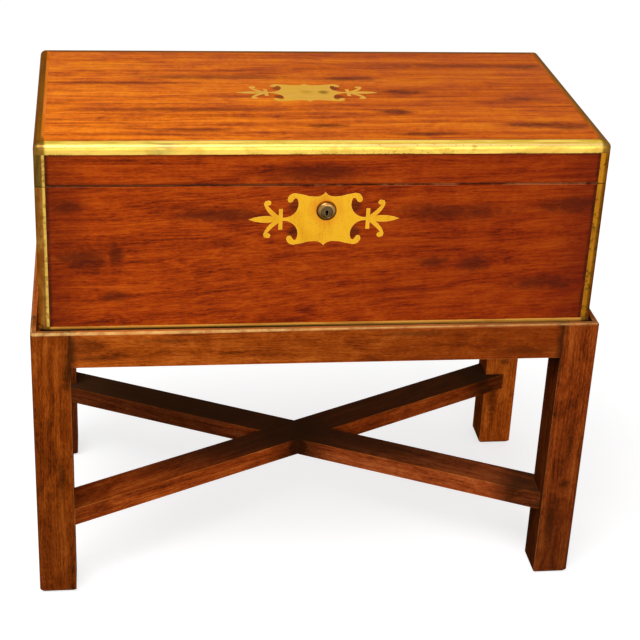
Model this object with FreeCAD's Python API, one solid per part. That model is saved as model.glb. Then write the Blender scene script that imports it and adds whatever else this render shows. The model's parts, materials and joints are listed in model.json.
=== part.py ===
import FreeCAD, Part
import math
import os

# A brass-bound writing slope on a four-legged stand, in millimetres.
# +X runs along the desk, -Y is the lock side and +Z is up. The origin is on the floor, under the middle.

Vector = FreeCAD.Vector

# Desk case
DESK_LENGTH = 508.0
DESK_DEPTH = 272.0
DESK_HEIGHT = 182.0
FRONT_SEAM_HEIGHT = 143.7
HINGE_SEAM_HEIGHT = 95.0
SEAM_GAP = 0.6
WALL = 12.0
BOARD = 8.0
EDGE_RADIUS = 5.5

# Brass binding on every edge of the case
BRASS = 1.5
BINDING_WIDTH = 9.3

# Stand
STAND_HEIGHT = 281.0
LEG = 35.0
RAIL_HEIGHT = 35.0
RAIL_THICKNESS = 22.0
RIM = 5.2
SEAT_DEPTH = 6.5
SEAT_CLEARANCE = 3.0
STAND_EDGE = 1.8
STAND_CORNER_RADIUS = 4.0
FOOT_CHAMFER = 3.0
TENON_LENGTH = 17.0
TENON_THICKNESS = 9.0
TENON_SHOULDER = 6.0
STRETCHER_TOP_HEIGHT = 90.0
STRETCHER_WIDTH = 34.0
STRETCHER_THICKNESS = 18.0
STUB_WIDTH = 14.0
STUB_THICKNESS = 8.0

# Hinges between desk and lid
HINGE_SPACING = 300.0
HINGE_LENGTH = 50.0
HINGE_KNUCKLES = 3
HINGE_BARREL_RADIUS = 2.5
HINGE_PIN_RADIUS = 1.0
HINGE_OFFSET = 0.6
LEAF_WIDTH = 9.0
LEAF_THICKNESS = 1.2
RUNNING_CLEARANCE = 0.08
FREE_CLEARANCE = 0.3

# Cartouche plates, let in flush on the lid and round the lock, a little left of the middle
PLATE_THICKNESS = 1.2
PLATE_DROP = 32.0
FRONT_PLATE_X = -1.5
LID_PLATE_X = -3.0
LID_PLATE_Y = 2.0
PLATE_TIP = 67.5
PLATE_POINT = 25.5
PLATE_DIP = 4.2
EAR_X = 30.8
EAR_Z = 18.4
EAR_RADIUS = 2.6
CROSS_BAR_X = 39.0
CROSS_BAR_WIDTH = 3.4
CROSS_BAR_HALF_HEIGHT = 9.8
NECK_HALF_WIDTH = 1.7
PETAL_BALL_X = 50.0
PETAL_BALL_Z = 15.6
PETAL_BALL_RADIUS = 2.4
CURL_STEP = 45
BEND_STEPS = 5
BITE_STEPS = 9

# Lock
LOCK_DROP = 24.0
LOCK_SETBACK = 3.0
LOCK_LENGTH = 60.0
LOCK_HEIGHT = 36.0
LOCK_SHEET = 1.2
LOCK_ROOM = 2.25
BOLT_THICKNESS = 2.5
BOLT_TRAVEL = 6.0
BOLT_BAR_HEIGHT = 8.0
PRONG_LENGTH = 9.0
PRONG_HEIGHT = 2.4
PRONG_THICKNESS = 1.8
PRONG_GAP = 1.0
POST_WIDTH = 3.0
LINK_SPACING = 28.0
LINK_THICKNESS = 2.5
LINK_WIDTH = 4.5
LINK_LENGTH = 10.5
LINK_EYE_DROP = 7.0
HASP_THICKNESS = 1.5
NOZZLE_RADIUS = 9.0
NOZZLE_PROUD = 4.0
NOZZLE_BARREL_RADIUS = 7.0
NOZZLE_BAND = 1.6
NOZZLE_LIP_RADIUS = 7.0
PLUG_RADIUS = 5.0
PLUG_RECESS = 0.8
DRIVE_PIN_RADIUS = 1.2
KEYHOLE_RADIUS = 1.5
KEYHOLE_SLOT = 3.4
KEYHOLE_DEPTH = 6.0

# Inside the desk
PARTITION = 6.0
PEN_ROOM = 60.0
PEN_ROOM_DEPTH = 64.0
INK_ROOM = 52.0
BEARER = 8.0
FITTING_CLEARANCE = 0.5
FLAP_THICKNESS = 7.0
FLAP_BORDER = 14.0
LEATHER = 1.0
TRAY_HEIGHT = 18.0
TRAY_DROP = 4.0
TRAY_END = 9.0
TROUGH_WIDTH = 44.0
TROUGH_FLOOR = 30.0
TROUGH_DEPTH = 12.0
BOTTLE_SIDE = 46.0
BOTTLE_HEIGHT = 34.0
BOTTLE_WALL = 5.0
BOTTLE_EDGE = 4.0
NECK_RADIUS = 12.0
NECK_HEIGHT = 5.0
CAP_RADIUS = 16.0
CAP_HEIGHT = 8.0

# Levels and half sizes that follow from the values above
seat = STAND_HEIGHT - SEAT_DEPTH
lid_top = seat + DESK_HEIGHT
desk_x = DESK_LENGTH / 2
desk_y = DESK_DEPTH / 2
inner_x = desk_x - WALL
inner_y = desk_y - WALL
floor = seat + BOARD
ceiling = lid_top - BOARD
stand_x = desk_x + SEAT_CLEARANCE + RIM
stand_y = desk_y + SEAT_CLEARANCE + RIM
rail_bottom = STAND_HEIGHT - RAIL_HEIGHT
stretcher_middle = STRETCHER_TOP_HEIGHT - STRETCHER_THICKNESS / 2
hinge_y = desk_y + HINGE_OFFSET
hinge_z = seat + HINGE_SEAM_HEIGHT
front_seam_z = seat + FRONT_SEAM_HEIGHT
seam_fall = (front_seam_z - hinge_z) / (hinge_y + desk_y)
partition_y = -inner_y + PEN_ROOM
shelf_top = front_seam_z - PEN_ROOM_DEPTH
ink_wall_x = inner_x - INK_ROOM - PARTITION
lock_z = front_seam_z - LOCK_DROP
case_y = -desk_y + LOCK_SETBACK
case_back_y = case_y + 2 * LOCK_SHEET + 2 * LOCK_ROOM + BOLT_THICKNESS
bolt_y = case_y + LOCK_SHEET + LOCK_ROOM
bolt_mid_y = bolt_y + BOLT_THICKNESS / 2


def seam_z(y):
    """Height of the sloping seam between desk and lid."""
    return front_seam_z - seam_fall * (y + desk_y)


case_top = seam_z(case_back_y) - SEAM_GAP / 2


def block(x, y, z):
    """Box between three pairs of limits."""
    return Part.makeBox(x[1] - x[0], y[1] - y[0], z[1] - z[0], Vector(x[0], y[0], z[0]))


def both_ways(half):
    """Pair of limits on both sides of the middle."""
    return (-half, half)


def rod(radius, start, direction, length):
    return Part.makeCylinder(radius, length, start, direction)


def prism_along_x(points, x):
    """Outline of (y, z) points drawn out between two X limits."""
    corners = [Vector(x[0], y, z) for y, z in points]
    return Part.Face(Part.makePolygon(corners + corners[:1])).extrude(Vector(x[1] - x[0], 0, 0))


def prism_along_z(points, z):
    """Outline of (x, y) points drawn out between two Z limits."""
    corners = [Vector(px, py, z[0]) for px, py in points]
    return Part.Face(Part.makePolygon(corners + corners[:1])).extrude(Vector(0, 0, z[1] - z[0]))


def seam_slab(x, y, height):
    """Slab parallel to the seam, between two heights measured from it."""
    low, high = height
    outline = [(y[0], seam_z(y[0]) + low), (y[1], seam_z(y[1]) + low)]
    outline += [(y[1], seam_z(y[1]) + high), (y[0], seam_z(y[0]) + high)]
    return prism_along_x(outline, x)


def mirrored_x(shape):
    return shape.mirror(Vector(0, 0, 0), Vector(1, 0, 0))


def mirrored_z(shape):
    return shape.mirror(Vector(0, 0, 0), Vector(0, 0, 1))


def export(name, *solids):
    """Write one named piece, or a group of like pieces, to its own file."""
    shape = solids[0] if len(solids) == 1 else Part.makeCompound(list(solids))
    shape.exportStep("parts/" + name + ".step")


def one_solid(shape):
    """The single solid of a boolean result."""
    return shape.removeSplitter().Solids[0]


# Stand


def stand_envelope():
    """Outside of the whole stand, with its corners rounded and its worn top edge taken off."""
    body = block(both_ways(stand_x), both_ways(stand_y), (0, STAND_HEIGHT))
    corners = [edge for edge in body.Edges if edge.BoundBox.ZLength > STAND_HEIGHT / 2]
    body = body.makeFillet(STAND_CORNER_RADIUS, corners)
    top = [edge for edge in body.Edges if edge.BoundBox.ZMin > STAND_HEIGHT / 2]
    return body.makeChamfer(STAND_EDGE, top)


def seat_pocket():
    """Shallow recess that the desk drops into."""
    x = both_ways(desk_x + SEAT_CLEARANCE)
    y = both_ways(desk_y + SEAT_CLEARANCE)
    return block(x, y, (seat, STAND_HEIGHT + SEAT_DEPTH))


def leg_blank(side_x, side_y):
    x = sorted((side_x * stand_x, side_x * (stand_x - LEG)))
    y = sorted((side_y * stand_y, side_y * (stand_y - LEG)))
    return block(x, y, (0, STAND_HEIGHT))


def rail(along_x, side):
    """Rail flush with the legs outside, rebated for the desk, with a tenon at each end."""
    outer = (stand_y if along_x else stand_x) * side
    inner = outer - RAIL_THICKNESS * side
    middle = (outer + inner) / 2
    reach = (stand_x if along_x else stand_y) - LEG
    across = sorted((outer, inner))
    tongue = (middle - TENON_THICKNESS / 2, middle + TENON_THICKNESS / 2)
    height = (rail_bottom + TENON_SHOULDER, seat - TENON_SHOULDER)
    if along_x:
        body = block(both_ways(reach), across, (rail_bottom, STAND_HEIGHT))
        tenon = block(both_ways(reach + TENON_LENGTH), tongue, height)
    else:
        body = block(across, both_ways(reach), (rail_bottom, STAND_HEIGHT))
        tenon = block(tongue, both_ways(reach + TENON_LENGTH), height)
    return one_solid(body.common(stand_envelope()).cut(seat_pocket()).fuse(tenon))


def stretcher_blank(side, width, thickness):
    """Plain bar between the middles of two opposite legs."""
    run = Vector(stand_x - LEG / 2, side * (stand_y - LEG / 2), 0)
    z = (stretcher_middle - thickness / 2, stretcher_middle + thickness / 2)
    bar = block(both_ways(run.Length), both_ways(width / 2), z)
    bar.rotate(Vector(0, 0, 0), Vector(0, 0, 1), math.degrees(math.atan2(run.y, run.x)))
    return bar


def stretcher(side, legs):
    """Bar notched round the legs' inner corners, with a stub tenon into each leg."""
    bar = stretcher_blank(side, STRETCHER_WIDTH, STRETCHER_THICKNESS).cut(legs)
    return bar.fuse(stretcher_blank(side, STUB_WIDTH, STUB_THICKNESS))


def build_stand():
    rails = {
        "front_rail": rail(True, -1),
        "back_rail": rail(True, 1),
        "left_rail": rail(False, -1),
        "right_rail": rail(False, 1),
    }
    stubs = [stretcher_blank(side, STUB_WIDTH, STUB_THICKNESS) for side in (1, -1)]
    envelope = stand_envelope()
    blanks = []
    for depth_name, side_y in (("front", -1), ("back", 1)):
        for side_name, side_x in (("left", -1), ("right", 1)):
            blank = leg_blank(side_x, side_y)
            blanks.append(blank)
            leg = one_solid(blank.common(envelope).cut([seat_pocket(), *rails.values(), *stubs]))
            foot = [edge for edge in leg.Edges if edge.BoundBox.ZMax < FOOT_CHAMFER / 2]
            export(depth_name + "_" + side_name + "_leg", leg.makeChamfer(FOOT_CHAMFER, foot))
    for name, shape in rails.items():
        export(name, shape)

    over, under = stretcher(1, blanks), stretcher(-1, blanks)
    lap = over.common(under)
    lower_lap = lap.common(block(both_ways(stand_x), both_ways(stand_y), (0, stretcher_middle)))
    export("stretcher_over", one_solid(over.cut(lower_lap)))
    export("stretcher_under", one_solid(under.cut(lap.cut(lower_lap))))


# Case and binding


def case_block(inset):
    z = (seat + inset, lid_top - inset)
    return block(both_ways(desk_x - inset), both_ways(desk_y - inset), z)


def rounded_case():
    """Closed case outside, with every edge rounded."""
    body = case_block(0)
    return body.makeFillet(EDGE_RADIUS, body.Edges)


def binding_bed():
    """Face that the brass is bedded on, chamfered so that the brass is as thick over the edges."""
    body = case_block(BRASS)
    return body.makeChamfer((EDGE_RADIUS - BRASS) * (2 - math.sqrt(2)), body.Edges)


def side_strip(index, width, z):
    """Strip along one side of the case, mitred at both ends: 0 front, 1 right, 2 back, 3 left."""
    signs = [(-1, -1), (1, -1), (1, 1), (-1, 1)]
    ends = [signs[index], signs[(index + 1) % len(signs)]]
    outer = [(sx * desk_x, sy * desk_y) for sx, sy in ends]
    inner = [(sx * (desk_x - width), sy * (desk_y - width)) for sx, sy in reversed(ends)]
    return prism_along_z(outer + inner, z)


def corner_post(side_x, side_y, z):
    x = sorted((side_x * desk_x, side_x * (desk_x - BINDING_WIDTH)))
    y = sorted((side_y * desk_y, side_y * (desk_y - BINDING_WIDTH)))
    return block(x, y, z)


def above_seam():
    return seam_slab(both_ways(stand_x), both_ways(stand_y), (SEAM_GAP / 2, DESK_HEIGHT))


def below_seam():
    return seam_slab(both_ways(stand_x), both_ways(stand_y), (-DESK_HEIGHT, -SEAM_GAP / 2))


SIDES = ("front", "right", "back", "left")
CORNERS = {"front_left": (-1, -1), "front_right": (1, -1), "back_right": (1, 1), "back_left": (-1, 1)}


def build_binding():
    """Cut every brass strip out of the case's skin and return what is left for the wood."""
    case = rounded_case()
    skin = case.cut(binding_bed())
    strips = {}
    for index, side in enumerate(SIDES):
        top = side_strip(index, BINDING_WIDTH, (lid_top - BINDING_WIDTH, lid_top))
        bottom = side_strip(index, BINDING_WIDTH, (seat, seat + BINDING_WIDTH))
        strips["lid_" + side + "_edging"] = skin.common(top)
        strips["desk_" + side + "_edging"] = skin.common(bottom)
    straps = {}
    for name, (side_x, side_y) in CORNERS.items():
        straps[name] = skin.common(corner_post(side_x, side_y, (seat + BINDING_WIDTH, lid_top - BINDING_WIDTH)))
    timber = case.cut([*strips.values(), *straps.values()])
    for name, strip in strips.items():
        export(name, one_solid(strip))
    for name, strap in straps.items():
        export("lid_" + name + "_strap", one_solid(strap.common(above_seam())))
        export("desk_" + name + "_strap", one_solid(strap.common(below_seam())))
    return timber


# Cartouche plates


def arc(start, middle, end):
    """Arc through three (x, z) points."""
    ends = [Vector(x, 0, z) for x, z in (start, middle, end)]
    return Part.Arc(*ends).toShape()


def line(start, end):
    return Part.makeLine(Vector(start[0], 0, start[1]), Vector(end[0], 0, end[1]))


def chain(*points):
    """Run of straight lines through (x, z) points."""
    return [line(start, end) for start, end in zip(points, points[1:])]


def bend(start, middle, end, steps=BEND_STEPS):
    """Points along an arc through three (x, z) points, for a few straight cuts."""
    return [(point.x, point.z) for point in arc(start, middle, end).discretize(steps + 1)]


def curl(x, z, radius, turn):
    """Points round a small ball end, clockwise from its outer side."""
    angles = [math.radians(angle) for angle in range(0, turn + 1, CURL_STEP)]
    return [(x + radius * math.cos(angle), z - radius * math.sin(angle)) for angle in angles]


def sheet(*edges):
    """Plate cut to a closed outline, in the XZ plane, with its thickness towards +Y."""
    wire = Part.Wire(Part.__sortEdges__(list(edges)))
    return Part.Face(wire).extrude(Vector(0, PLATE_THICKNESS, 0))


def plate_quarter():
    """Quarter of the shield: ogee point, curled ear, bite and half the neck."""
    point = (0, PLATE_POINT)
    dip = (PLATE_POINT / 3, PLATE_POINT - PLATE_DIP)
    saddle = (0.46 * EAR_X, PLATE_POINT - 0.9 * PLATE_DIP)
    rise = (0.64 * EAR_X, PLATE_POINT - 0.52 * PLATE_DIP)
    brow = (EAR_X - 2.4 * EAR_RADIUS, EAR_Z + 2.2 * EAR_RADIUS)
    ear = curl(EAR_X, EAR_Z, EAR_RADIUS, 180)
    hook = (EAR_X - 1.6 * EAR_RADIUS, EAR_Z + 0.7 * EAR_RADIUS)
    notch = (EAR_X - 2.4 * EAR_RADIUS, EAR_Z + 0.4 * EAR_RADIUS)
    bite = (EAR_X - 2.42 * EAR_RADIUS, 0.49 * EAR_Z)
    neck = (CROSS_BAR_X, NECK_HALF_WIDTH)
    ogee = bend(point, (dip[0] / 3, PLATE_POINT - PLATE_DIP * 2 / 3), dip)
    shoulder = bend(brow, (EAR_X + 0.4 * EAR_RADIUS, EAR_Z + 1.55 * EAR_RADIUS), ear[0])
    upper = [(0, 0), *ogee, saddle, rise, *shoulder, *ear[1:], hook]
    lower = [*bend(notch, bite, neck, BITE_STEPS), (CROSS_BAR_X, 0), (0, 0)]
    return sheet(*chain(*upper, *lower))


def finial_half():
    """Upper half of the cross bar, lance leaf and curled petal at one end of the plate."""
    bar_half = CROSS_BAR_WIDTH / 2
    bar = block((CROSS_BAR_X - bar_half, CROSS_BAR_X + bar_half), (0, PLATE_THICKNESS), (0, CROSS_BAR_HALF_HEIGHT))
    leaf_start = (CROSS_BAR_X, 0.5 * NECK_HALF_WIDTH)
    leaf_widest = (CROSS_BAR_X + 0.57 * (PLATE_TIP - CROSS_BAR_X), 1.8 * NECK_HALF_WIDTH)
    tip = (PLATE_TIP, 0)
    leaf = sheet(*chain(*bend(leaf_start, leaf_widest, tip), (CROSS_BAR_X, 0), leaf_start))
    ball_x, ball_z, ball = PETAL_BALL_X, PETAL_BALL_Z, PETAL_BALL_RADIUS
    inner_start = (CROSS_BAR_X, 1.2 * NECK_HALF_WIDTH)
    inner_end = (ball_x + 0.5 * ball, ball_z - 0.8 * ball)
    outer_start = (CROSS_BAR_X + 2 * NECK_HALF_WIDTH, 0.2 * NECK_HALF_WIDTH)
    outer_side = (ball_x + 1.7 * ball, ball_z - 0.5 * ball)
    outer_top = (ball_x + 1.3 * ball, ball_z + 0.65 * ball)
    crown = (ball_x, ball_z + ball)
    inside = bend(inner_start, (ball_x - 1.4 * ball, ball_z - 3 * ball), inner_end)
    outside = bend(outer_side, (ball_x - 0.1 * ball, ball_z - 3.9 * ball), outer_start)
    petal = sheet(*chain(*inside, (ball_x, ball_z), crown, outer_top, *outside, inner_start))
    knob = sheet(*chain(*curl(ball_x, ball_z, ball, 360)))
    return bar.fuse([leaf, petal, knob])


def cartouche():
    """Whole plate, centred on the origin in the XZ plane, with its show face at Y = 0."""
    quarter = plate_quarter().fuse(finial_half())
    half = quarter.fuse(mirrored_z(quarter))
    return one_solid(half.fuse(mirrored_x(half)))


def front_plate():
    plate = cartouche()
    plate.translate(Vector(FRONT_PLATE_X, -desk_y, front_seam_z - PLATE_DROP))
    return plate


def lid_plate():
    plate = cartouche()
    plate.rotate(Vector(0, 0, 0), Vector(1, 0, 0), -90)
    plate.translate(Vector(LID_PLATE_X, LID_PLATE_Y, lid_top))
    return plate


# Hinges


def to_hinge_line(shape):
    """Move a shape from the hinge's own frame, with the seam level, to the sloping seam at the back."""
    shape.rotate(Vector(0, 0, 0), Vector(1, 0, 0), -math.degrees(math.atan(seam_fall)))
    shape.translate(Vector(0, hinge_y, hinge_z))
    return shape


def hinge_barrel(radius, start, end):
    return rod(radius, Vector(start, 0, 0), Vector(1, 0, 0), end - start)


def hinge_leaf(middle, first_knuckle, height, bore):
    """Leaf let into the seam, with every other knuckle of the barrel."""
    x = (middle - HINGE_LENGTH / 2, middle + HINGE_LENGTH / 2)
    plate = block(x, (-LEAF_WIDTH - HINGE_OFFSET, 0), height)
    leaf = plate.cut(hinge_barrel(HINGE_BARREL_RADIUS + FREE_CLEARANCE, *x))
    pitch = HINGE_LENGTH / HINGE_KNUCKLES
    for number in range(first_knuckle, HINGE_KNUCKLES, 2):
        start = x[0] + number * pitch + FREE_CLEARANCE / 2
        end = start + pitch - FREE_CLEARANCE
        neck = block((start, end), (-2 * HINGE_BARREL_RADIUS, 0), height)
        leaf = leaf.fuse([neck, hinge_barrel(HINGE_BARREL_RADIUS, start, end)])
    return to_hinge_line(one_solid(leaf.cut(hinge_barrel(bore, *x))))


def hinge_room(middle):
    """Space cut in both back boards for one barrel."""
    half = HINGE_LENGTH / 2 + FREE_CLEARANCE
    return to_hinge_line(hinge_barrel(HINGE_BARREL_RADIUS + FREE_CLEARANCE, middle - half, middle + half))


def build_hinges():
    middles = both_ways(HINGE_SPACING / 2)
    desk_height = (-SEAM_GAP / 2 - LEAF_THICKNESS, -SEAM_GAP / 2)
    lid_height = (SEAM_GAP / 2, SEAM_GAP / 2 + LEAF_THICKNESS)
    lid_bore = HINGE_PIN_RADIUS + RUNNING_CLEARANCE
    desk_leaves = [hinge_leaf(middle, 0, desk_height, HINGE_PIN_RADIUS) for middle in middles]
    lid_leaves = [hinge_leaf(middle, 1, lid_height, lid_bore) for middle in middles]
    half = HINGE_LENGTH / 2
    pins = [to_hinge_line(hinge_barrel(HINGE_PIN_RADIUS, m - half, m + half)) for m in middles]
    export("hinge_desk_leaves", *desk_leaves)
    export("hinge_lid_leaves", *lid_leaves)
    export("hinge_pins", *pins)
    return desk_leaves, lid_leaves, [hinge_room(middle) for middle in middles]


# Lock


def lock_nozzle():
    """Bevelled collar on the plate, with a barrel through the front board to the lock case."""
    bore = PLUG_RADIUS + RUNNING_CLEARANCE
    front = -desk_y - NOZZLE_PROUD
    corners = [(bore, case_y), (NOZZLE_BARREL_RADIUS, case_y), (NOZZLE_BARREL_RADIUS, -desk_y)]
    corners += [(NOZZLE_RADIUS, -desk_y), (NOZZLE_RADIUS, -desk_y - NOZZLE_BAND)]
    corners += [(NOZZLE_LIP_RADIUS, front), (bore, front)]
    outline = Part.makePolygon([Vector(x, y, 0) for x, y in corners + corners[:1]])
    collar = Part.Face(outline).revolve(Vector(0, 0, 0), Vector(0, 1, 0), 360)
    collar.translate(Vector(0, 0, lock_z))
    return collar


def pin_throw():
    """Radius of the drive pin that carries the bolt through its travel in a quarter turn."""
    return BOLT_TRAVEL / math.sqrt(2)


def lock_plug():
    """Turning plug with its keyhole, and the drive pin that carries the bolt."""
    forward = Vector(0, 1, 0)
    start = -desk_y - NOZZLE_PROUD + PLUG_RECESS
    plug = rod(PLUG_RADIUS, Vector(0, start, lock_z), forward, bolt_y - FREE_CLEARANCE - start)
    hole = rod(KEYHOLE_RADIUS, Vector(0, start, lock_z), forward, KEYHOLE_DEPTH)
    slot_half = KEYHOLE_RADIUS / 2
    slot = block(both_ways(slot_half), (start, start + KEYHOLE_DEPTH), (lock_z - KEYHOLE_SLOT, lock_z))
    pin_offset = Vector(-BOLT_TRAVEL / 2, 0, math.sqrt(pin_throw() ** 2 - (BOLT_TRAVEL / 2) ** 2))
    pin_start = Vector(0, bolt_y - 2 * FREE_CLEARANCE, lock_z) + pin_offset
    pin = rod(DRIVE_PIN_RADIUS, pin_start, forward, BOLT_THICKNESS + 3 * FREE_CLEARANCE)
    return one_solid(plug.cut([hole, slot]).fuse(pin))


def eye_z():
    """Height of the link eyes and the bolt's prongs."""
    return seam_z(bolt_mid_y) - LINK_EYE_DROP


def link_sides():
    return both_ways(LINK_SPACING / 2)


def lock_bolt():
    """Sliding bar with two prongs that enter the links, and a slot for the drive pin."""
    y = (bolt_y, bolt_y + BOLT_THICKNESS)
    prong_y = (bolt_mid_y - PRONG_THICKNESS / 2, bolt_mid_y + PRONG_THICKNESS / 2)
    bar_z = (lock_z + DRIVE_PIN_RADIUS / 2, lock_z + DRIVE_PIN_RADIUS / 2 + BOLT_BAR_HEIGHT)
    prong_z = (eye_z() - PRONG_HEIGHT / 2, eye_z() + PRONG_HEIGHT / 2)
    prong_back = LINK_THICKNESS / 2 + PRONG_GAP
    left, right = link_sides()
    bar = block((left - prong_back - PRONG_LENGTH, right - prong_back), y, bar_z)
    for link_x in link_sides():
        tip = link_x - prong_back
        root = tip - PRONG_LENGTH
        prong = block((root, tip), prong_y, prong_z)
        post = block((root, root + POST_WIDTH), y, (bar_z[0], prong_z[1]))
        bar = bar.fuse([prong, post])
    room = DRIVE_PIN_RADIUS + FREE_CLEARANCE
    low = math.sqrt(pin_throw() ** 2 - (BOLT_TRAVEL / 2) ** 2)
    slot_x = (-BOLT_TRAVEL / 2 - room, -BOLT_TRAVEL / 2 + room)
    slot = block(slot_x, y, (lock_z + low - room, lock_z + pin_throw() + room))
    return one_solid(bar.cut(slot))


def lock_links():
    """Hasp plate in the lid's edge, with two links square to the seam, each with an eye for the bolt."""
    tilt = -math.degrees(math.atan(seam_fall))
    middle_y = bolt_mid_y + LINK_EYE_DROP * math.sin(math.atan(seam_fall))
    plate_y = (case_y - middle_y, -inner_y - middle_y)
    low = SEAM_GAP / 2
    half = LOCK_LENGTH / 2
    hasp = block(both_ways(half), plate_y, (low, low + HASP_THICKNESS))
    eye_y = PRONG_THICKNESS / 2 + 2 * FREE_CLEARANCE
    eye_half = PRONG_HEIGHT / 2 + 2 * FREE_CLEARANCE
    drop = LINK_EYE_DROP * math.cos(math.atan(seam_fall))
    for link_x in link_sides():
        x = (link_x - LINK_THICKNESS / 2, link_x + LINK_THICKNESS / 2)
        link = block(x, both_ways(LINK_WIDTH / 2), (-LINK_LENGTH, low))
        eye = block(x, both_ways(eye_y), (-drop - eye_half, -drop + eye_half))
        hasp = hasp.fuse(link).cut(eye)
    hasp.rotate(Vector(0, 0, 0), Vector(1, 0, 0), tilt)
    hasp.translate(Vector(0, middle_y, seam_z(middle_y)))
    return one_solid(hasp)


def link_room():
    """Slots through the lock's top for the two links."""
    reach = LINK_WIDTH / 2 + LINK_EYE_DROP * seam_fall + FREE_CLEARANCE
    slots = []
    for link_x in link_sides():
        half = LINK_THICKNESS / 2 + FREE_CLEARANCE
        x = (link_x - half, link_x + half)
        y = (max(bolt_mid_y - reach, case_y + LOCK_SHEET), min(bolt_mid_y + reach, case_back_y - LOCK_SHEET))
        slots.append(block(x, y, (case_top - 2 * LOCK_SHEET, case_top)))
    return slots


def lock_case():
    """Sheet case round the bolt, with guides behind it, link slots on top and a bore for the plug."""
    half = LOCK_LENGTH / 2
    z = (case_top - LOCK_HEIGHT, case_top)
    outside = block(both_ways(half), (case_y, case_back_y), z)
    inside_y = (case_y + LOCK_SHEET, case_back_y - LOCK_SHEET)
    inside = block(both_ways(half - LOCK_SHEET), inside_y, (z[0] + LOCK_SHEET, z[1] - LOCK_SHEET))
    bore = rod(PLUG_RADIUS + RUNNING_CLEARANCE, Vector(0, case_y, lock_z), Vector(0, 1, 0), LOCK_SHEET)
    case = outside.cut([inside, bore, *link_room()])
    guide_y = (bolt_y + BOLT_THICKNESS + FREE_CLEARANCE, inside_y[1])
    guide_z = (lock_z + DRIVE_PIN_RADIUS, lock_z + BOLT_BAR_HEIGHT)
    guides = [block((x, x + POST_WIDTH), guide_y, guide_z) for x in (-LINK_SPACING / 2, LINK_SPACING / 4)]
    return one_solid(case.fuse(guides))


def build_lock():
    """Write the lock's pieces and return what has to be cut out of the two front boards."""
    nozzle, case, links, plate = lock_nozzle(), lock_case(), lock_links(), front_plate()
    barrel_room = rod(NOZZLE_BARREL_RADIUS, Vector(0, -desk_y, lock_z), Vector(0, 1, 0), WALL)
    plate = plate.cut(barrel_room)
    export("front_plate", one_solid(plate))
    export("lock_nozzle", nozzle)
    export("lock_case", case)
    export("lock_plug", lock_plug())
    export("lock_bolt", lock_bolt())
    export("lock_links", links)
    half = LOCK_LENGTH / 2
    pocket = block(both_ways(half), (case_y, case_back_y), (case_top - LOCK_HEIGHT, front_seam_z))
    return [plate, barrel_room, pocket], links


# Boards of the desk and lid


def build_boards(timber, front_cuts, links, hinges):
    desk_leaves, lid_leaves, rooms = hinges
    plate = lid_plate()
    full = (both_ways(desk_x), both_ways(desk_y))
    export("lid_plate", plate)
    export("lid_top", one_solid(timber.common(block(*full, (ceiling, lid_top))).cut(plate)))
    export("desk_bottom", one_solid(timber.common(block(*full, (seat, floor)))))
    lid_cuts = {"front": [links], "back": [*lid_leaves, *rooms]}
    desk_cuts = {"front": front_cuts, "back": [*desk_leaves, *rooms]}
    for index, side in enumerate(SIDES):
        wall = timber.common(side_strip(index, WALL, (floor, ceiling)))
        lid_wall = wall.common(above_seam())
        desk_wall = wall.common(below_seam())
        if side in lid_cuts:
            lid_wall = lid_wall.cut(lid_cuts[side])
            desk_wall = desk_wall.cut(desk_cuts[side])
        export("lid_" + side + "_wall", one_solid(lid_wall))
        export("desk_" + side + "_wall", one_solid(desk_wall))


# Fittings inside


def pen_tray():
    """Loose tray with a trough for pens, its long sides sloping."""
    end = ink_wall_x - FITTING_CLEARANCE
    y = (max(-inner_y, case_back_y) + FITTING_CLEARANCE, partition_y - FITTING_CLEARANCE)
    top = seam_z(partition_y) - TRAY_DROP
    body = block(both_ways(end), y, (top - TRAY_HEIGHT, top))
    middle = (y[0] + y[1]) / 2
    outline = [(middle + side * TROUGH_FLOOR / 2, top - TROUGH_DEPTH) for side in (-1, 1)]
    outline += [(middle + side * TROUGH_WIDTH / 2, top) for side in (1, -1)]
    return one_solid(body.cut(prism_along_x(outline, both_ways(end - TRAY_END))))


def ink_bottle(middle_x):
    """Square glass well with a round neck, and the brass cap that closes it."""
    middle_y = (-inner_y + partition_y) / 2
    half = BOTTLE_SIDE / 2
    x = (middle_x - half, middle_x + half)
    y = (middle_y - half, middle_y + half)
    up = Vector(0, 0, 1)
    shoulder = shelf_top + BOTTLE_HEIGHT
    body = block(x, y, (shelf_top, shoulder))
    body = body.makeChamfer(BOTTLE_EDGE, body.Edges)
    neck = rod(NECK_RADIUS, Vector(middle_x, middle_y, shoulder), up, NECK_HEIGHT)
    depth = BOTTLE_HEIGHT + NECK_HEIGHT - BOTTLE_WALL
    bore = rod(NECK_RADIUS - BOTTLE_WALL / 2, Vector(middle_x, middle_y, shelf_top + BOTTLE_WALL), up, depth)
    cap = rod(CAP_RADIUS, Vector(middle_x, middle_y, shoulder), up, CAP_HEIGHT)
    return one_solid(body.fuse(neck).cut(bore)), cap.cut(neck)


def flap(y, height, show_up):
    """Writing flap with its leather let in flush inside a wooden border."""
    x = inner_x - FITTING_CLEARANCE
    y = (y[0] + FITTING_CLEARANCE, y[1] - FITTING_CLEARANCE)
    board = seam_slab(both_ways(x), y, height)
    skin = (height[1] - LEATHER, height[1]) if show_up else (height[0], height[0] + LEATHER)
    leather = seam_slab(both_ways(x - FLAP_BORDER), (y[0] + FLAP_BORDER, y[1] - FLAP_BORDER), skin)
    return one_solid(board.cut(leather)), leather


def side_bearers(y, height):
    """Strips on both end walls that carry a flap."""
    left = seam_slab((-inner_x, -inner_x + BEARER), y, height)
    return [left, mirrored_x(left)]


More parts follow.
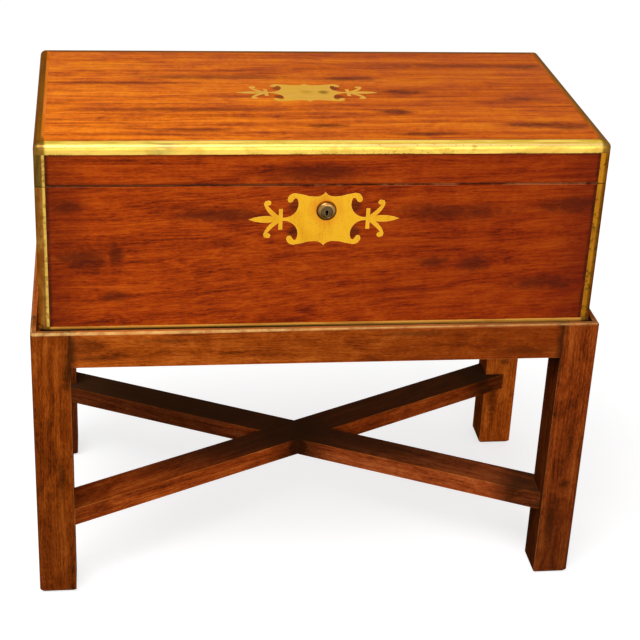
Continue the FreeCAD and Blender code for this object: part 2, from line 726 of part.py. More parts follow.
def build_fittings():
    pen_y = (-inner_y, partition_y)
    well_y = (partition_y + PARTITION, inner_y)
    under = -SEAM_GAP / 2
    divider = block(both_ways(inner_x), (partition_y, well_y[0]), (floor, lid_top)).common(below_seam())
    export("pen_room_divider", one_solid(divider))
    shelf_z = (shelf_top - PARTITION, shelf_top)
    export("pen_room_shelf", block(both_ways(inner_x), pen_y, shelf_z))

    ink_wall = block((ink_wall_x, ink_wall_x + PARTITION), pen_y, (shelf_top, lid_top)).common(below_seam())
    export("ink_dividers", ink_wall, mirrored_x(ink_wall))
    tray_bottom = seam_z(partition_y) - TRAY_DROP - TRAY_HEIGHT
    tray_bearer = block((ink_wall_x - BEARER, ink_wall_x), pen_y, (tray_bottom - BEARER, tray_bottom))
    export("tray_bearers", tray_bearer, mirrored_x(tray_bearer))
    export("pen_tray", pen_tray())

    ink_x = inner_x - INK_ROOM / 2
    wells = [ink_bottle(x) for x in both_ways(ink_x)]
    export("ink_bottles", *[bottle for bottle, cap in wells])
    export("ink_caps", *[cap for bottle, cap in wells])

    desk_flap, desk_leather = flap(well_y, (under - FLAP_THICKNESS, under), True)
    export("desk_flap", desk_flap)
    export("desk_flap_leather", desk_leather)
    export("desk_flap_bearers", *side_bearers(well_y, (under - FLAP_THICKNESS - BEARER, under - FLAP_THICKNESS)))

    over = SEAM_GAP / 2
    lid_y = both_ways(inner_y)
    lid_flap, lid_leather = flap(lid_y, (over, over + FLAP_THICKNESS), False)
    export("lid_flap", lid_flap)
    export("lid_flap_leather", lid_leather)
    export("lid_flap_bearers", *side_bearers(lid_y, (over + FLAP_THICKNESS, over + FLAP_THICKNESS + BEARER)))


os.makedirs("parts", exist_ok=True)
build_stand()
case_timber = build_binding()
cuts, hasp_links = build_lock()
build_boards(case_timber, cuts, hasp_links, build_hinges())
build_fittings()
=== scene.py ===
import json
import math

import bpy
from mathutils import Matrix, Vector


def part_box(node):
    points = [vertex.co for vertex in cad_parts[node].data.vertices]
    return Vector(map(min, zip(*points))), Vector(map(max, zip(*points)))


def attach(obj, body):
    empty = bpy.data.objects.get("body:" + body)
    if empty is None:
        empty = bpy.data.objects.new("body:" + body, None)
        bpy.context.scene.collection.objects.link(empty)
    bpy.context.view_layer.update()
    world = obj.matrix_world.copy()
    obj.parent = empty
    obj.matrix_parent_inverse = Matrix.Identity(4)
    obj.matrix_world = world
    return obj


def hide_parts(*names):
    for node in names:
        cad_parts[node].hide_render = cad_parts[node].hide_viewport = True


# A brass-bound writing slope on its stand, in metres: +X runs along the desk and -Y is the lock side.

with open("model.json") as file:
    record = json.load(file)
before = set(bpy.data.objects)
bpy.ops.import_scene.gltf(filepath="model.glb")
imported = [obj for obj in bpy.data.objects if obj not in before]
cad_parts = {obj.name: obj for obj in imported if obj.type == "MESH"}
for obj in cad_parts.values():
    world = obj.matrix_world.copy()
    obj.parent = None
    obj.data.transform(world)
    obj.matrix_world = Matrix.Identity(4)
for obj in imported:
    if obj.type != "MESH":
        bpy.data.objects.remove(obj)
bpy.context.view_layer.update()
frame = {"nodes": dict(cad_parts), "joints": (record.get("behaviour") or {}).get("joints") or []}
nodes = frame["nodes"]

# Camera, fitted to the edges of box and stand in the photograph
CAMERA_PLACE = (-0.19787, -1.43677, 0.94248)
CAMERA_HEADING = -8.61
CAMERA_PITCH = 63.48
CAMERA_ROLL = 2.84
CAMERA_LENS = 90.53
CAMERA_SENSOR = 36.0

# Lamps with place, size and power, their aim, the other light and the floor
LAMPS = (("key", (-0.7, -0.75, 2.3), 1.5, 38.0), ("fill", (0.5, -2.4, 0.9), 1.2, 20.0))
AIM = (0.0, 0.0, 0.3)
WORLD_FILL = 0.34
FLOOR_SIZE = 14.0
FLOOR_TONE = 0.55
FLOOR_ROUGH = 0.9
FLOOR_GLOW = 0.7
FAR_FLOOR_GLOW = 0.97
GLOW_START = 1.2
GLOW_END = 4.0

# Binding, seam, bites of the plates and crossing of the stretcher
BINDING_WIDTH = 0.0093
SEAM_GAP = 0.0006
BITE_REACH = 0.027
BITE_RISE = 0.0128
CROSSING_CORNER = 0.019

# Leather with its tooled border and slightly uneven field
LEATHER_THICKNESS = 0.001
SHEET_SHARE = 0.8
TOOLED_LINES = ((0.0050, 0.0060), (0.0082, 0.0087))
TOOLING_DEPTH = 0.00016
TOOLING_WALL = 0.0002
TOOLING_SLACK = 0.00005
FIELD_MARGIN = 0.004
FIELD_STEPS = 24
PILLOW_MARGIN = 0.012
PILLOW_DEPTH = 0.00005
PILLOW_WAVE_X = 40
PILLOW_WAVE_Y = 55

# Screws, with their places as shares of a hinge and of the lock case
SCREW_RADIUS = 0.002
SCREW_SLOT = 0.0006
SCREW_PROUD = 0.00012
SCREW_SINK = 0.0004
SCREW_SHOULDER = 0.4
SCREW_CROWN = 0.93
SCREW_STEPS = 12
FIRST_SLOT_TURN = 0.7
NEXT_SLOT_TURN = 1.9
HINGE_LENGTH = 0.05
HINGE_SCREWS = (0.16, 0.5, 0.84)
LEAF_MIDDLE = 0.0061
LOCK_SCREWS = 0.82

# Lock collar and keyhole rim
LATHE_STEPS = 64
PLUG_CLEARANCE = 0.00008
COLLAR_STEM = 0.78
COLLAR_LIP = 0.3
LIP_POINTS = ((0.0004, 0.0001), (0.0001, 0.0004), (0.0, 0.001))
KEYHOLE_RADIUS = 0.00195
KEYHOLE_FOOT = ((-0.00112, -0.0034), (-0.0007, -0.0039), (0.0007, -0.0039), (0.00112, -0.0034))
KEYHOLE_RIM = ((0.00022, 0.0002), (0.0001, -0.00025), (-0.0001, -0.00025), (-0.00022, 0.0002))

# Ink caps, as shares of radius and height
CAP_CROWN = ((0.4, 0.97), (0.62, 0.9), (0.76, 0.78))
CAP_BEAD = ((0.8, 0.72), (0.85, 0.76), (0.91, 0.75))
CAP_SKIRT = ((0.97, 0.64), (1.0, 0.44), (1.0, 0.08), (0.98, 0.0))
CAP_NECK = 0.76
CAP_HOLLOW = 0.64
AXIS_GAP = 0.0001

# Places read from the model
lid_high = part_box("lid_top")[1]
wall_low, wall_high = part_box("desk_front_wall")
plug_low, plug_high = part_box("lock_plug")
rail_low, rail_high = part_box("front_rail")
edging_low, edging_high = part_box("lid_front_edging")
leg_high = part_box("front_left_leg")[1]
bar_low, bar_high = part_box("stretcher_over")

# Open panels between the brass
open_x = edging_high.x - BINDING_WIDTH
open_y = -edging_low.y - BINDING_WIDTH
panel_x = ("x", -open_x, open_x)
panel_y = ("y", -open_y, open_y)
strip_edge = lid_high.z - BINDING_WIDTH

# Seam between desk and lid, from the hinge axis and the front wall's upper edge
hinge = next(joint for joint in frame["joints"] if joint["name"] == "lid_hinge")
hinge_place = Vector(hinge["pos_m"])
seam_slope = (wall_high.z + SEAM_GAP / 2 - hinge_place.z) / (hinge_place.y - wall_low.y)
seam_tilt = -math.atan(seam_slope)


def srgb(red, green, blue):
    """Linear colour from 8-bit screen values."""
    def linear(value):
        value /= 255
        return value / 12.92 if value <= 0.04045 else ((value + 0.055) / 1.055) ** 2.4
    return (linear(red), linear(green), linear(blue), 1.0)


WHITE = (1.0, 1.0, 1.0, 1.0)

# Wood, dark streak to light streak
LID_WOOD = (srgb(128, 45, 4), srgb(217, 104, 12), srgb(249, 148, 30))
CASE_WOOD = (srgb(92, 24, 3), srgb(165, 58, 5), srgb(200, 86, 12))
STAND_WOOD = (srgb(66, 26, 6), srgb(136, 59, 11), srgb(178, 92, 28))
RAIL_WOOD = (srgb(82, 33, 8), srgb(164, 72, 15), srgb(208, 110, 36))
OVER_BAR_WOOD = (srgb(80, 30, 10), srgb(156, 64, 18), srgb(198, 100, 36))
UNDER_BAR_WOOD = (srgb(84, 34, 12), srgb(160, 70, 26), srgb(204, 110, 56))
# Lit and shaded copies of the leg wood: painted light on the back right leg, painted shade on the front right
# and back left legs
LIT_LEG_WOOD = (srgb(100, 40, 10), srgb(196, 88, 22), srgb(238, 132, 44))
SHADED_LEG_WOOD = (srgb(60, 23, 7), srgb(132, 54, 14), srgb(176, 88, 30))
INNER_WOOD = (srgb(96, 42, 18), srgb(158, 82, 38), srgb(190, 112, 58))

# Polish, wear and dirt on the wood, with painted shade and highlight
LID_RED = srgb(158, 56, 12)
LID_BROWN = srgb(162, 66, 14)
FRONT_RED = srgb(108, 18, 1)
FRONT_END = srgb(80, 12, 3)
RAIL_RED = srgb(104, 34, 8)
FOOT_SHADE = srgb(50, 24, 13)
LID_LENS = srgb(116, 40, 4)
DEEP_LID_LENS = srgb(92, 34, 8)
FRONT_LENS = srgb(72, 20, 5)
RAIL_LENS = srgb(72, 29, 9)
WORN_WOOD = srgb(222, 168, 104)
WORN_BAR = srgb(226, 128, 46)
SEAM_WEAR = srgb(206, 118, 66)
RIM_GOLD = srgb(236, 192, 116)
DUST_AND_SHADE = srgb(70, 47, 29)
GRIME_AND_SHADE = srgb(30, 16, 7)
INNER_DIRT_AND_SHADE = srgb(44, 22, 8)

# Metal, polished and tarnished
BRIGHT_BRASS = (srgb(216, 182, 82), srgb(180, 134, 46))
STRAP_BRASS = (srgb(206, 170, 76), srgb(158, 110, 42))
# Brown brass of the other straps, darkened partly by patina and partly as painted dark reflection
BROWN_BRASS = (srgb(168, 110, 22), srgb(112, 66, 12))
DULL_BRASS = (srgb(156, 118, 58), srgb(108, 76, 34))
SHADED_BRASS = (srgb(154, 124, 86), srgb(116, 90, 60))
FOOT_BRASS = (srgb(232, 176, 76), srgb(176, 114, 38))
PLATE_BRASS = (srgb(210, 155, 32), srgb(188, 128, 20))
LID_PLATE_BRASS = (srgb(226, 184, 102), srgb(200, 154, 76))
HINGE_BRASS = (srgb(206, 162, 72), srgb(146, 104, 42))
LOCK_METAL = (srgb(150, 112, 62), srgb(88, 62, 34))
PLUG_METAL = (srgb(86, 70, 46), srgb(50, 38, 24))

# Tarnish, stains and polish on the metal, with painted highlights, reflections and shade
TARNISH_AND_SHADE = srgb(62, 40, 12)
CORNER_TARNISH_AND_DARK_REFLECTION = srgb(98, 60, 14)
STRAP_TARNISH_AND_DARK_REFLECTION = srgb(112, 54, 13)
GLINT = srgb(255, 246, 196)
TOP_REFLECTION_YELLOW = srgb(252, 226, 118)
LEFT_POLISH = srgb(248, 148, 72)
RIGHT_POLISH = srgb(208, 122, 60)
STRIP_OLIVE = srgb(140, 122, 60)
STRIP_SPOT = srgb(104, 78, 30)
LOCK_HALO = srgb(196, 118, 30)
# Painted highlights on the plate edges
PLATE_EDGE = srgb(250, 214, 110)
LID_PLATE_EDGE = srgb(255, 214, 130)
LID_PLATE_SMUDGE = srgb(108, 80, 66)
LID_PLATE_CLOUD = srgb(150, 116, 50)

# Leather, its gilding, and glass
LEATHER_GREEN = (srgb(20, 38, 26), srgb(38, 62, 42))
GILDING = srgb(206, 160, 66)
GLASS_GREEN = (srgb(226, 240, 232), srgb(206, 226, 214))
GLASS_IOR = 1.5

# Noises: length along the grain, width across it, detail, roughness and warp
WOOD_SWAY = (0.17, 0.05, 2.0)
WOOD_LINES = (0.09, 0.0014, 4.0, 0.6, 0.2)
WOOD_FLECKS = (0.005, 0.0007, 2.0, 0.6)
WOOD_FIGURE = (0.045, 0.02, 5.0, 0.6, 1.2)
WOOD_MOTTLE = (0.006, 0.02, 3.0, 0.6, 0.6)
LENS_MOTTLE = (0.014, 0.006, 5.0, 0.65, 1.0)
SEAM_PATCHES = (0.03, 0.03, 4.0, 0.7)
RIM_PATCHES = (0.014, 0.014, 5.0, 0.7)
METAL_HAZE = (0.05, 0.02, 4.0, 0.6, 1.0)
METAL_FRECKLES = (0.0024, 0.0020, 2.0)
METAL_SCRATCHES = (0.03, 0.00025, 2.0)
METAL_DENTS = (0.016, 0.008, 2.0)
METAL_RUBBING = (0.12, 0.0012, 3.0, 0.6)
METAL_PITS = (0.0018, 0.0011, 3.0, 0.6)
METAL_BLOTCHES = (0.006, 0.006, 5.0, 0.75)
LEATHER_RUBBING = (0.06, 0.06, 4.0, 0.6, 0.6)
GILDING_WEAR = (0.004, 0.004, 3.0, 0.6)
GLASS_RIPPLE = (0.02, 0.02, 3.0)
LEATHER_PEBBLES = 900.0

# Streaks of the wood: length and width, and what all of them share
PLAIN_STREAK = (0.16, 0.009)
LID_STREAK = (0.28, 0.011)
STREAK_LOOK = (5.0, 0.62, 0.4)
SWAY_REACH = 0.014
TONE_STOPS = (0.3, 0.5, 0.7)

# Shares of streaks, lines, flecks, figure and mottle in the tone
PLAIN_GRAIN = (0.42, 0.32, 0.36, 0.5, 0.26)
LID_GRAIN = (0.74, 0.46, 0.36, 0.46, 0.14)
FRONT_GRAIN = (0.56, 0.62, 0.4, 0.38, 0.1)
STAND_GRAIN = (0.46, 0.4, 0.46, 0.5, 0.1)
BAR_GRAIN = (0.5, 0.5, 0.46, 0.5, 0.1)

# Depth of the relief in the materials
WOOD_RELIEF = 0.00012
METAL_RELIEF = 0.0004
LEATHER_RELIEF = 0.0002
GILDING_RELIEF = 0.0001
GLASS_RELIEF = 0.0006

# Shift of the grain with a material's seed, and the look of sharp edges
SEED_SHIFT = (1.0, 0.7, 1.3)
EDGE_SAMPLES = 4
EDGE_FLAT = 0.99
EDGE_SHARP = 0.8

# Darker lenses in the lid (x, y) and in the front boards (x, z), with half lengths and half widths
LID_MARKS = (
    (-0.183, 0.030, 0.090, 0.006),
    (-0.090, 0.048, 0.090, 0.009),
    (-0.120, -0.046, 0.120, 0.008),
    (-0.116, -0.100, 0.045, 0.007),
    (0.043, 0.044, 0.036, 0.009),
    (0.088, 0.004, 0.036, 0.010),
    (0.072, -0.053, 0.024, 0.010),
    (0.003, -0.089, 0.024, 0.008),
    (0.092, -0.111, 0.042, 0.007),
    (0.206, -0.088, 0.060, 0.011),
    (0.150, 0.085, 0.110, 0.009),
)
DEEP_LID_MARKS = (
    (0.200, -0.087, 0.034, 0.007),
    (0.226, -0.096, 0.022, 0.009),
    (0.200, -0.016, 0.028, 0.007),
    (0.228, 0.082, 0.024, 0.008),
    (0.043, 0.044, 0.024, 0.005),
    (0.088, 0.004, 0.024, 0.006),
    (0.072, -0.053, 0.018, 0.007),
    (0.003, -0.089, 0.018, 0.006),
    (0.092, -0.111, 0.030, 0.005),
)
FRONT_MARKS = (
    (-0.213, 0.351, 0.026, 0.012),
    (-0.185, 0.353, 0.010, 0.012),
    (-0.226, 0.400, 0.020, 0.008),
    (-0.096, 0.391, 0.050, 0.008),
    (-0.187, 0.313, 0.016, 0.007),
    (-0.010, 0.430, 0.055, 0.010),
    (0.137, 0.341, 0.019, 0.011),
    (0.098, 0.343, 0.018, 0.007),
    (0.115, 0.392, 0.065, 0.010),
    (0.205, 0.321, 0.042, 0.009),
    (0.225, 0.397, 0.045, 0.010),
)
# Dark streaks on the front rail (x, z)
RAIL_MARKS = (
    (0.088, 0.274, 0.038, 0.0035),
    (-0.140, 0.2715, 0.036, 0.003),
    (0.190, 0.2545, 0.036, 0.006),
    (-0.205, 0.256, 0.030, 0.005),
    (-0.214, 0.268, 0.022, 0.012),
)
# Smudges on the front legs (x, z)
LEG_MARKS = (
    (0.247, 0.106, 0.007, 0.006),
    (0.238, 0.062, 0.007, 0.034),
    (0.248, 0.150, 0.004, 0.022),
    (-0.231, 0.236, 0.006, 0.016),
    (-0.238, 0.130, 0.004, 0.030),
)


class Look:
    """Short calls for the nodes of one material: its colour, and two noises for effects to follow."""

    colour = WHITE
    broad = None
    fine = None

    def __init__(self, name):
        self.material = bpy.data.materials.new(name)
        self.material.use_nodes = True
        self.tree = self.material.node_tree
        self.surface = self.tree.nodes["Principled BSDF"]

    def node(self, kind, inputs=None, **settings):
        node = self.tree.nodes.new("ShaderNode" + kind)
        for key, value in settings.items():
            setattr(node, key, value)
        for key, value in (inputs or {}).items():
            self.feed(node.inputs[key], value)
        return node

    def feed(self, socket, value):
        if isinstance(value, bpy.types.NodeSocket):
            self.tree.links.new(value, socket)
        else:
            socket.default_value = value

    def math(self, operation, first, second=0.0):
        return self.node("Math", {0: first, 1: second}, operation=operation).outputs[0]

    def times(self, first, second):
        return self.math("MULTIPLY", first, second)

    def plus(self, first, second):
        return self.math("ADD", first, second)

    def minus(self, first, second):
        return self.math("SUBTRACT", first, second)

    def larger(self, first, second):
        return self.math("MAXIMUM", first, second)

    def smaller(self, first, second):
        return self.math("MINIMUM", first, second)

    def size(self, value):
        return self.math("ABSOLUTE", value)

    def vector_math(self, operation, first, second, output="Vector"):
        return self.node("VectorMath", {0: first, 1: second}, operation=operation).outputs[output]

    def length(self, vector):
        return self.vector_math("LENGTH", vector, (0, 0, 0), "Value")

    def span(self, value, low, high, to_low=0.0, to_high=1.0):
        """Smooth step of a value from one range to another."""
        inputs = {"Value": value, "From Min": low, "From Max": high, "To Min": to_low, "To Max": to_high}
        return self.node("MapRange", inputs, interpolation_type="SMOOTHSTEP").outputs["Result"]

    def tint(self, amount, tint):
        """Blends the colour with a tint."""
        node = self.node("Mix", data_type="RGBA")
        for key, value in ((0, amount), (6, self.colour), (7, tint)):
            self.feed(node.inputs[key], value)
        self.colour = node.outputs[2]

    def ramp(self, value, stops):
        """Colour ramp through (position, colour) stops."""
        node = self.node("ValToRGB", {"Fac": value})
        elements = node.color_ramp.elements
        while len(elements) < len(stops):
            elements.new(0.5)
        for element, (position, colour) in zip(elements, stops):
            element.position = position
            element.color = colour
        return node.outputs["Color"]

    def place(self):
        return self.node("TexCoord").outputs["Object"]

    def axes(self, vector):
        split = self.node("SeparateXYZ", {0: vector})
        return dict(zip("xyz", split.outputs))

    def here(self):
        """Axes of the place in the piece's own frame."""
        return self.axes(self.place())

    def ordered(self, vector, order):
        """Vector with its axes taken in another order."""
        split = self.axes(vector)
        inputs = {i: split[axis] for i, axis in enumerate(order)}
        return self.node("CombineXYZ", inputs).outputs[0]

    def grain_place(self, order, turn, seed):
        """Object place with the first axis along the grain."""
        inputs = {"Vector": self.place(), "Angle": turn}
        turned = self.node("VectorRotate", inputs, rotation_type="Z_AXIS").outputs[0]
        shift = tuple(share * seed for share in SEED_SHIFT)
        return self.vector_math("ADD", self.ordered(turned, order), shift)

    def noise(self, vector, length, width, detail, rough=0.5, warp=0.0):
        """Noise with marks of a length along the first axis and a width across it."""
        scaled = self.vector_math("MULTIPLY", vector, (1 / length, 1 / width, 1 / width))
        inputs = {"Vector": scaled, "Scale": 1.0, "Detail": detail, "Roughness": rough, "Distortion": warp}
        return self.node("TexNoise", inputs).outputs[0]

    def bump(self, height, depth, strength):
        inputs = {"Height": height, "Distance": depth, "Strength": strength}
        return self.node("Bump", inputs).outputs["Normal"]

    def facing(self):
        """Normal in the piece's own frame, so that it stays the same in every pose."""
        return self.axes(self.node("TexCoord").outputs["Normal"])

    def edge_mask(self, radius):
        """1 on sharp edges and 0 on open faces."""
        rounded = self.node("Bevel", {"Radius": radius}, samples=EDGE_SAMPLES).outputs["Normal"]
        plain = self.node("NewGeometry").outputs["Normal"]
        return self.span(self.vector_math("DOT_PRODUCT", rounded, plain, "Value"), EDGE_FLAT, EDGE_SHARP)

    def distance(self, place):
        return self.length(self.vector_math("SUBTRACT", self.place(), place))

    def finish(self, rough, normal=None, metal=0.0, specular=0.5, tint=WHITE):
        inputs = self.surface.inputs
        self.feed(inputs["Base Color"], self.colour)
        self.feed(inputs["Roughness"], rough)
        inputs["Metallic"].default_value = metal
        inputs["Specular IOR Level"].default_value = specular
        inputs["Specular Tint"].default_value = tint
        if normal is not None:
            self.feed(inputs["Normal"], normal)
        return self.material


def effect_maker(paint):
    """Lets a painting function take its settings first and the look to paint later."""
    def maker(*settings):
        return lambda look: paint(look, *settings)
    return maker


# Wood


def wood(name, palette, order="xyz", turn=0.0, seed=0.0, lean=0.0, streak=PLAIN_STREAK,
         weights=PLAIN_GRAIN, rough=0.34, specular=0.04, effects=()):
    """Polished mahogany: streaks, lines and flecks along the grain, a mottled figure, then effects."""
    look = Look(name)
    point = look.grain_place(order, turn, seed)
    sway = look.times(look.minus(look.noise(point, *WOOD_SWAY), 0.5), SWAY_REACH)
    sway = look.minus(sway, look.times(look.axes(point)["x"], lean))
    point = look.vector_math("ADD", point, look.node("CombineXYZ", {1: sway, 2: sway}).outputs[0])
    streaks = look.noise(point, *streak, *STREAK_LOOK)
    lines = look.noise(point, *WOOD_LINES)
    flecks = look.noise(point, *WOOD_FLECKS)
    figure = look.noise(point, *WOOD_FIGURE)
    mottle = look.noise(point, *WOOD_MOTTLE)
    tone = 0.5
    for part, weight in zip((streaks, lines, flecks, figure, mottle), weights):
        tone = look.plus(tone, look.times(look.minus(part, 0.5), weight))
    look.colour = look.ramp(tone, list(zip(TONE_STOPS, palette)))
    look.broad = figure
    look.fine = lines
    for effect in effects:
        effect(look)
    sheen = look.span(figure, 0.3, 0.7, rough - 0.06, rough + 0.1)
    return look.finish(sheen, look.bump(flecks, WOOD_RELIEF, 0.5), specular=specular)


@effect_maker
def lenses(look, marks, order, dark, amount, reach=1.5, rough=1.6):
    """Dark ragged lenses in the figure, at given places in the board's plane."""
    flat = look.ordered(look.place(), order)
    total = 0.0
    for x, y, half_x, half_y in marks:
        away = look.vector_math("SUBTRACT", flat, (x, y, 0))
        away = look.vector_math("MULTIPLY", away, (1 / half_x, 1 / half_y, 0))
        total = look.larger(total, look.span(look.length(away), reach, 0.0))
    mottle = look.minus(look.noise(flat, *LENS_MOTTLE), 0.5)
    ragged = look.plus(total, look.times(mottle, rough))
    ragged = look.plus(ragged, look.minus(look.fine, 0.5))
    dirt = look.times(look.span(ragged, 0.1, 1.1), look.span(total, 0.0, 0.4, 0.0, amount))
    look.tint(dirt, dark)


@effect_maker
def drift(look, axis, start, end, tint, amount):
    """Slow change of colour along an axis, from nothing at one place to a tint at another."""
    look.tint(look.span(look.here()[axis], start, end, 0.0, amount), tint)


@effect_maker
def end_shade(look, dark, left, right, reach=0.045):
    """Painted shade towards both ends of a front board."""
    along = look.here()["x"]
    near_left = look.span(along, reach - open_x, -open_x, 0.0, left)
    near_right = look.span(along, open_x - reach, open_x, 0.0, right)
    look.tint(look.larger(near_left, near_right), dark)


@effect_maker
def border_grime_and_shade(look, limits, width=0.0026, amount=0.7):
    """Old polish and dirt along the brass, given (axis, low, high) limits of the open panel; a limit under a
    strip gives painted shade there.
    """
    split = look.here()
    inside = 1.0
    for axis, low, high in limits:
        inside = look.smaller(inside, look.minus(split[axis], low))
        inside = look.smaller(inside, look.minus(high, split[axis]))
    patches = look.span(look.broad, 0.3, 0.6, 0.4)
    look.tint(look.times(look.span(inside, width, 0.0, 0.0, amount), patches), GRIME_AND_SHADE)


@effect_maker
def bite_grime(look, node, far=0.008, near=0.003, amount=0.55):
    """Dirt on the wood in the four bites of an inlaid plate, which lies flat or upright."""
    low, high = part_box(node)
    middle = (low + high) / 2
    flat = high.y - low.y > high.z - low.z
    nearest = 1.0
    for x in (-BITE_REACH, BITE_REACH):
        for rise in (-BITE_RISE, BITE_RISE):
            bite = middle + Vector((x, rise, 0) if flat else (x, 0, rise))
            nearest = look.smaller(nearest, look.distance(bite))
    look.tint(look.span(nearest, far, near, 0.0, amount), GRIME_AND_SHADE)


@effect_maker
def seam_edge(look, above, half=0.1, left=0.0032, right=0.002, core=0.0004, arris=(0.0008, 0.0003)):
    """Dirt and painted shade over the seam, and worn pale specks on the arris at either side of it, on show
    faces only.
    """
    split = look.here()
    show = look.span(look.size(look.facing()["z"]), 0.8, 0.5)
    fall = look.times(look.minus(split["y"], wall_low.y), seam_slope)
    away = look.minus(look.plus(split["z"], fall), wall_high.z)
    if above:
        away = look.minus(away, SEAM_GAP)
        reach = look.span(split["x"], -half, half, left, right)
        # Dirt and painted shade above the seam
        look.tint(look.times(look.span(away, reach, core, 0.0, 0.85), show), GRIME_AND_SHADE)
    else:
        away = look.times(away, -1.0)
    patches = look.span(look.noise(look.place(), *SEAM_PATCHES), 0.42, 0.6)
    patches = look.times(patches, look.span(split["x"], -half, half, 0.25, 0.75))
    look.tint(look.times(look.span(away, *arris), look.times(patches, show)), SEAM_WEAR)


@effect_maker
def worn_edges(look, amount, radius=0.0012, tint=WORN_WOOD):
    """Edges rubbed through to a lighter tint."""
    look.tint(look.times(look.edge_mask(radius), look.span(look.fine, 0.35, 0.65, 0.2, amount)), tint)


@effect_maker
def dark_inside(look, amount, start=-0.02, full=-0.08):
    """Old dirt and painted shade on the side faces that look towards the middle of the stand."""
    outward = look.times(look.facing()["x"], look.here()["x"])
    look.tint(look.span(outward, start, full, 0.0, amount), INNER_DIRT_AND_SHADE)


@effect_maker
def joint_grime(look, amount, reach=0.009, line=0.0016, core=0.0006, below=0.03):
    """Dirt along the joints between rails and legs."""
    split = look.here()
    near = 1.0
    for axis, joint in (("x", -leg_high.x), ("y", -leg_high.y)):
        away = look.minus(look.size(split[axis]), joint)
        near = look.smaller(near, look.size(away))
    high = look.span(split["z"], rail_low.z - below, rail_low.z)
    dirt = look.times(look.span(near, reach, 0.0, 0.0, amount), look.span(look.broad, 0.35, 0.6))
    dirt = look.larger(dirt, look.span(near, line, core, 0.0, amount))
    look.tint(look.times(dirt, high), GRIME_AND_SHADE)


@effect_maker
def dark_top(look, amount, half=0.2, front=-0.1, back=-0.02):
    """Dust and painted shade on the upper faces under the box, less towards the front ends and least at the
    front left.
    """
    place = look.here()
    front_end = look.span(place["x"], -half, half, 0.0, 0.3)
    dirt = look.span(place["y"], front, back, front_end, amount)
    upper = look.span(look.facing()["z"], 0.5, 0.9)
    look.tint(look.times(upper, dirt), DUST_AND_SHADE)


@effect_maker
def bar_grime_and_shade(look, amount, half=0.2, ends=(0.205, 0.24), crossing=(0.06, 0.02), corner=(0.02, 0.008)):
    """Dirt where a stretcher bar meets the legs and the other bar, with painted shade in the front corner of
    the crossing and along the back left arm.
    """
    place = look.here()
    away = look.distance((0, 0, bar_low.z))
    leg_end = look.times(look.span(away, *ends), look.span(place["x"], -half, half, 0.35))
    near = look.larger(look.span(away, *crossing), leg_end)
    dirt = look.times(near, look.span(look.broad, 0.35, 0.55, 0.5, amount))
    # Painted shade: darker in the front corner of the crossing and along the back left arm
    away = look.distance((0, -CROSSING_CORNER, (bar_low.z + bar_high.z) / 2))
    dirt = look.larger(dirt, look.span(away, *corner, 0.0, 0.92))
    left = look.span(place["x"], 0.0, -0.06)
    back_left = look.times(left, look.span(place["y"], 0.0, 0.03, 0.0, 0.68))
    look.tint(look.larger(dirt, back_left), GRIME_AND_SHADE)


def rim_wear_and_highlight(look, width=0.02, right=0.0016, left=0.0026, edge=0.0006, crown=0.0001, fade=0.001):
    """Golden worn rim round the seat with a pale patchy arris, strongest along the front and brighter to the
    left: wear with a painted highlight.
    """
    place = look.here()
    up = look.facing()["z"]
    front = look.span(place["y"], rail_low.y + width, rail_low.y, 0.25)
    patches = look.noise(look.place(), *RIM_PATCHES)
    # Painted highlight, brighter towards the left
    bright = look.span(place["x"], 0.2, -0.1, 0.6, 0.95)
    foot = look.span(place["x"], 0.1, -0.15, rail_high.z - right, rail_high.z - left)
    top = look.span(place["z"], rail_high.z - edge, rail_high.z - crown, 0.0, 0.14)
    arris = look.span(look.minus(place["z"], foot), 0.0, fade)
    arris = look.times(arris, look.span(up, 0.95, 0.6))
    arris = look.times(arris, look.span(patches, 0.25, 0.65, 0.15, bright))
    look.tint(look.times(look.larger(top, arris), front), RIM_GOLD)


# Metal


def metal(name, colours, order="xyz", seed=0.0, rough=0.3, patina=0.7, spots=0.6, effects=()):
    """Old brass or bronze: haze of tarnish, freckles, fine scratches and shallow dents."""
    look = Look(name)
    point = look.grain_place(order, 0.0, seed)
    haze = look.noise(point, *METAL_HAZE)
    freckles = look.noise(point, *METAL_FRECKLES)
    scratches = look.noise(point, *METAL_SCRATCHES)
    dents = look.noise(point, *METAL_DENTS)
    rubbing = look.noise(point, *METAL_RUBBING)
    tarnish = look.plus(look.times(haze, 0.7), look.times(rubbing, 0.3))
    look.colour = colours[0]
    look.tint(look.span(tarnish, 0.42, 0.66, 0.0, patina), colours[1])
    look.tint(look.span(freckles, 0.66, 0.76, 0.0, spots), TARNISH_AND_SHADE)
    look.broad = haze
    look.fine = freckles
    for effect in effects:
        effect(look)
    sheen = look.span(haze, 0.3, 0.7, rough - 0.08, rough + 0.1)
    sheen = look.plus(sheen, look.span(scratches, 0.5, 0.7, 0.0, 0.12))
    relief = look.plus(look.times(dents, 0.8), look.times(scratches, 0.03))
    return look.finish(sheen, look.bump(relief, METAL_RELIEF, 0.6), metal=1.0, tint=colours[0])


@effect_maker
def dark_corner(look, tint, amount, start=0.0032, fade=0.0014):
    """Tarnish and painted dark reflection where a strap turns round the corner, from a distance beside the
    open panel.
    """
    side = look.span(look.size(look.here()["x"]), open_x + start, open_x + start + fade, 0.0, amount)
    look.tint(look.times(side, look.span(look.broad, 0.3, 0.6, 0.75)), tint)


@effect_maker
def dark_ends(look, amount, start=0.0005, left_reach=0.0025, right_reach=0.004):
    """Tarnish and painted dark reflection on both ends of a strip, where the straps run into it."""
    along = look.here()["x"]
    far_left = look.span(along, start - open_x, -left_reach - open_x, 0.0, amount)
    far_right = look.span(along, open_x + start, open_x + right_reach, 0.0, amount)
    look.tint(look.larger(far_left, far_right), CORNER_TARNISH_AND_DARK_REFLECTION)


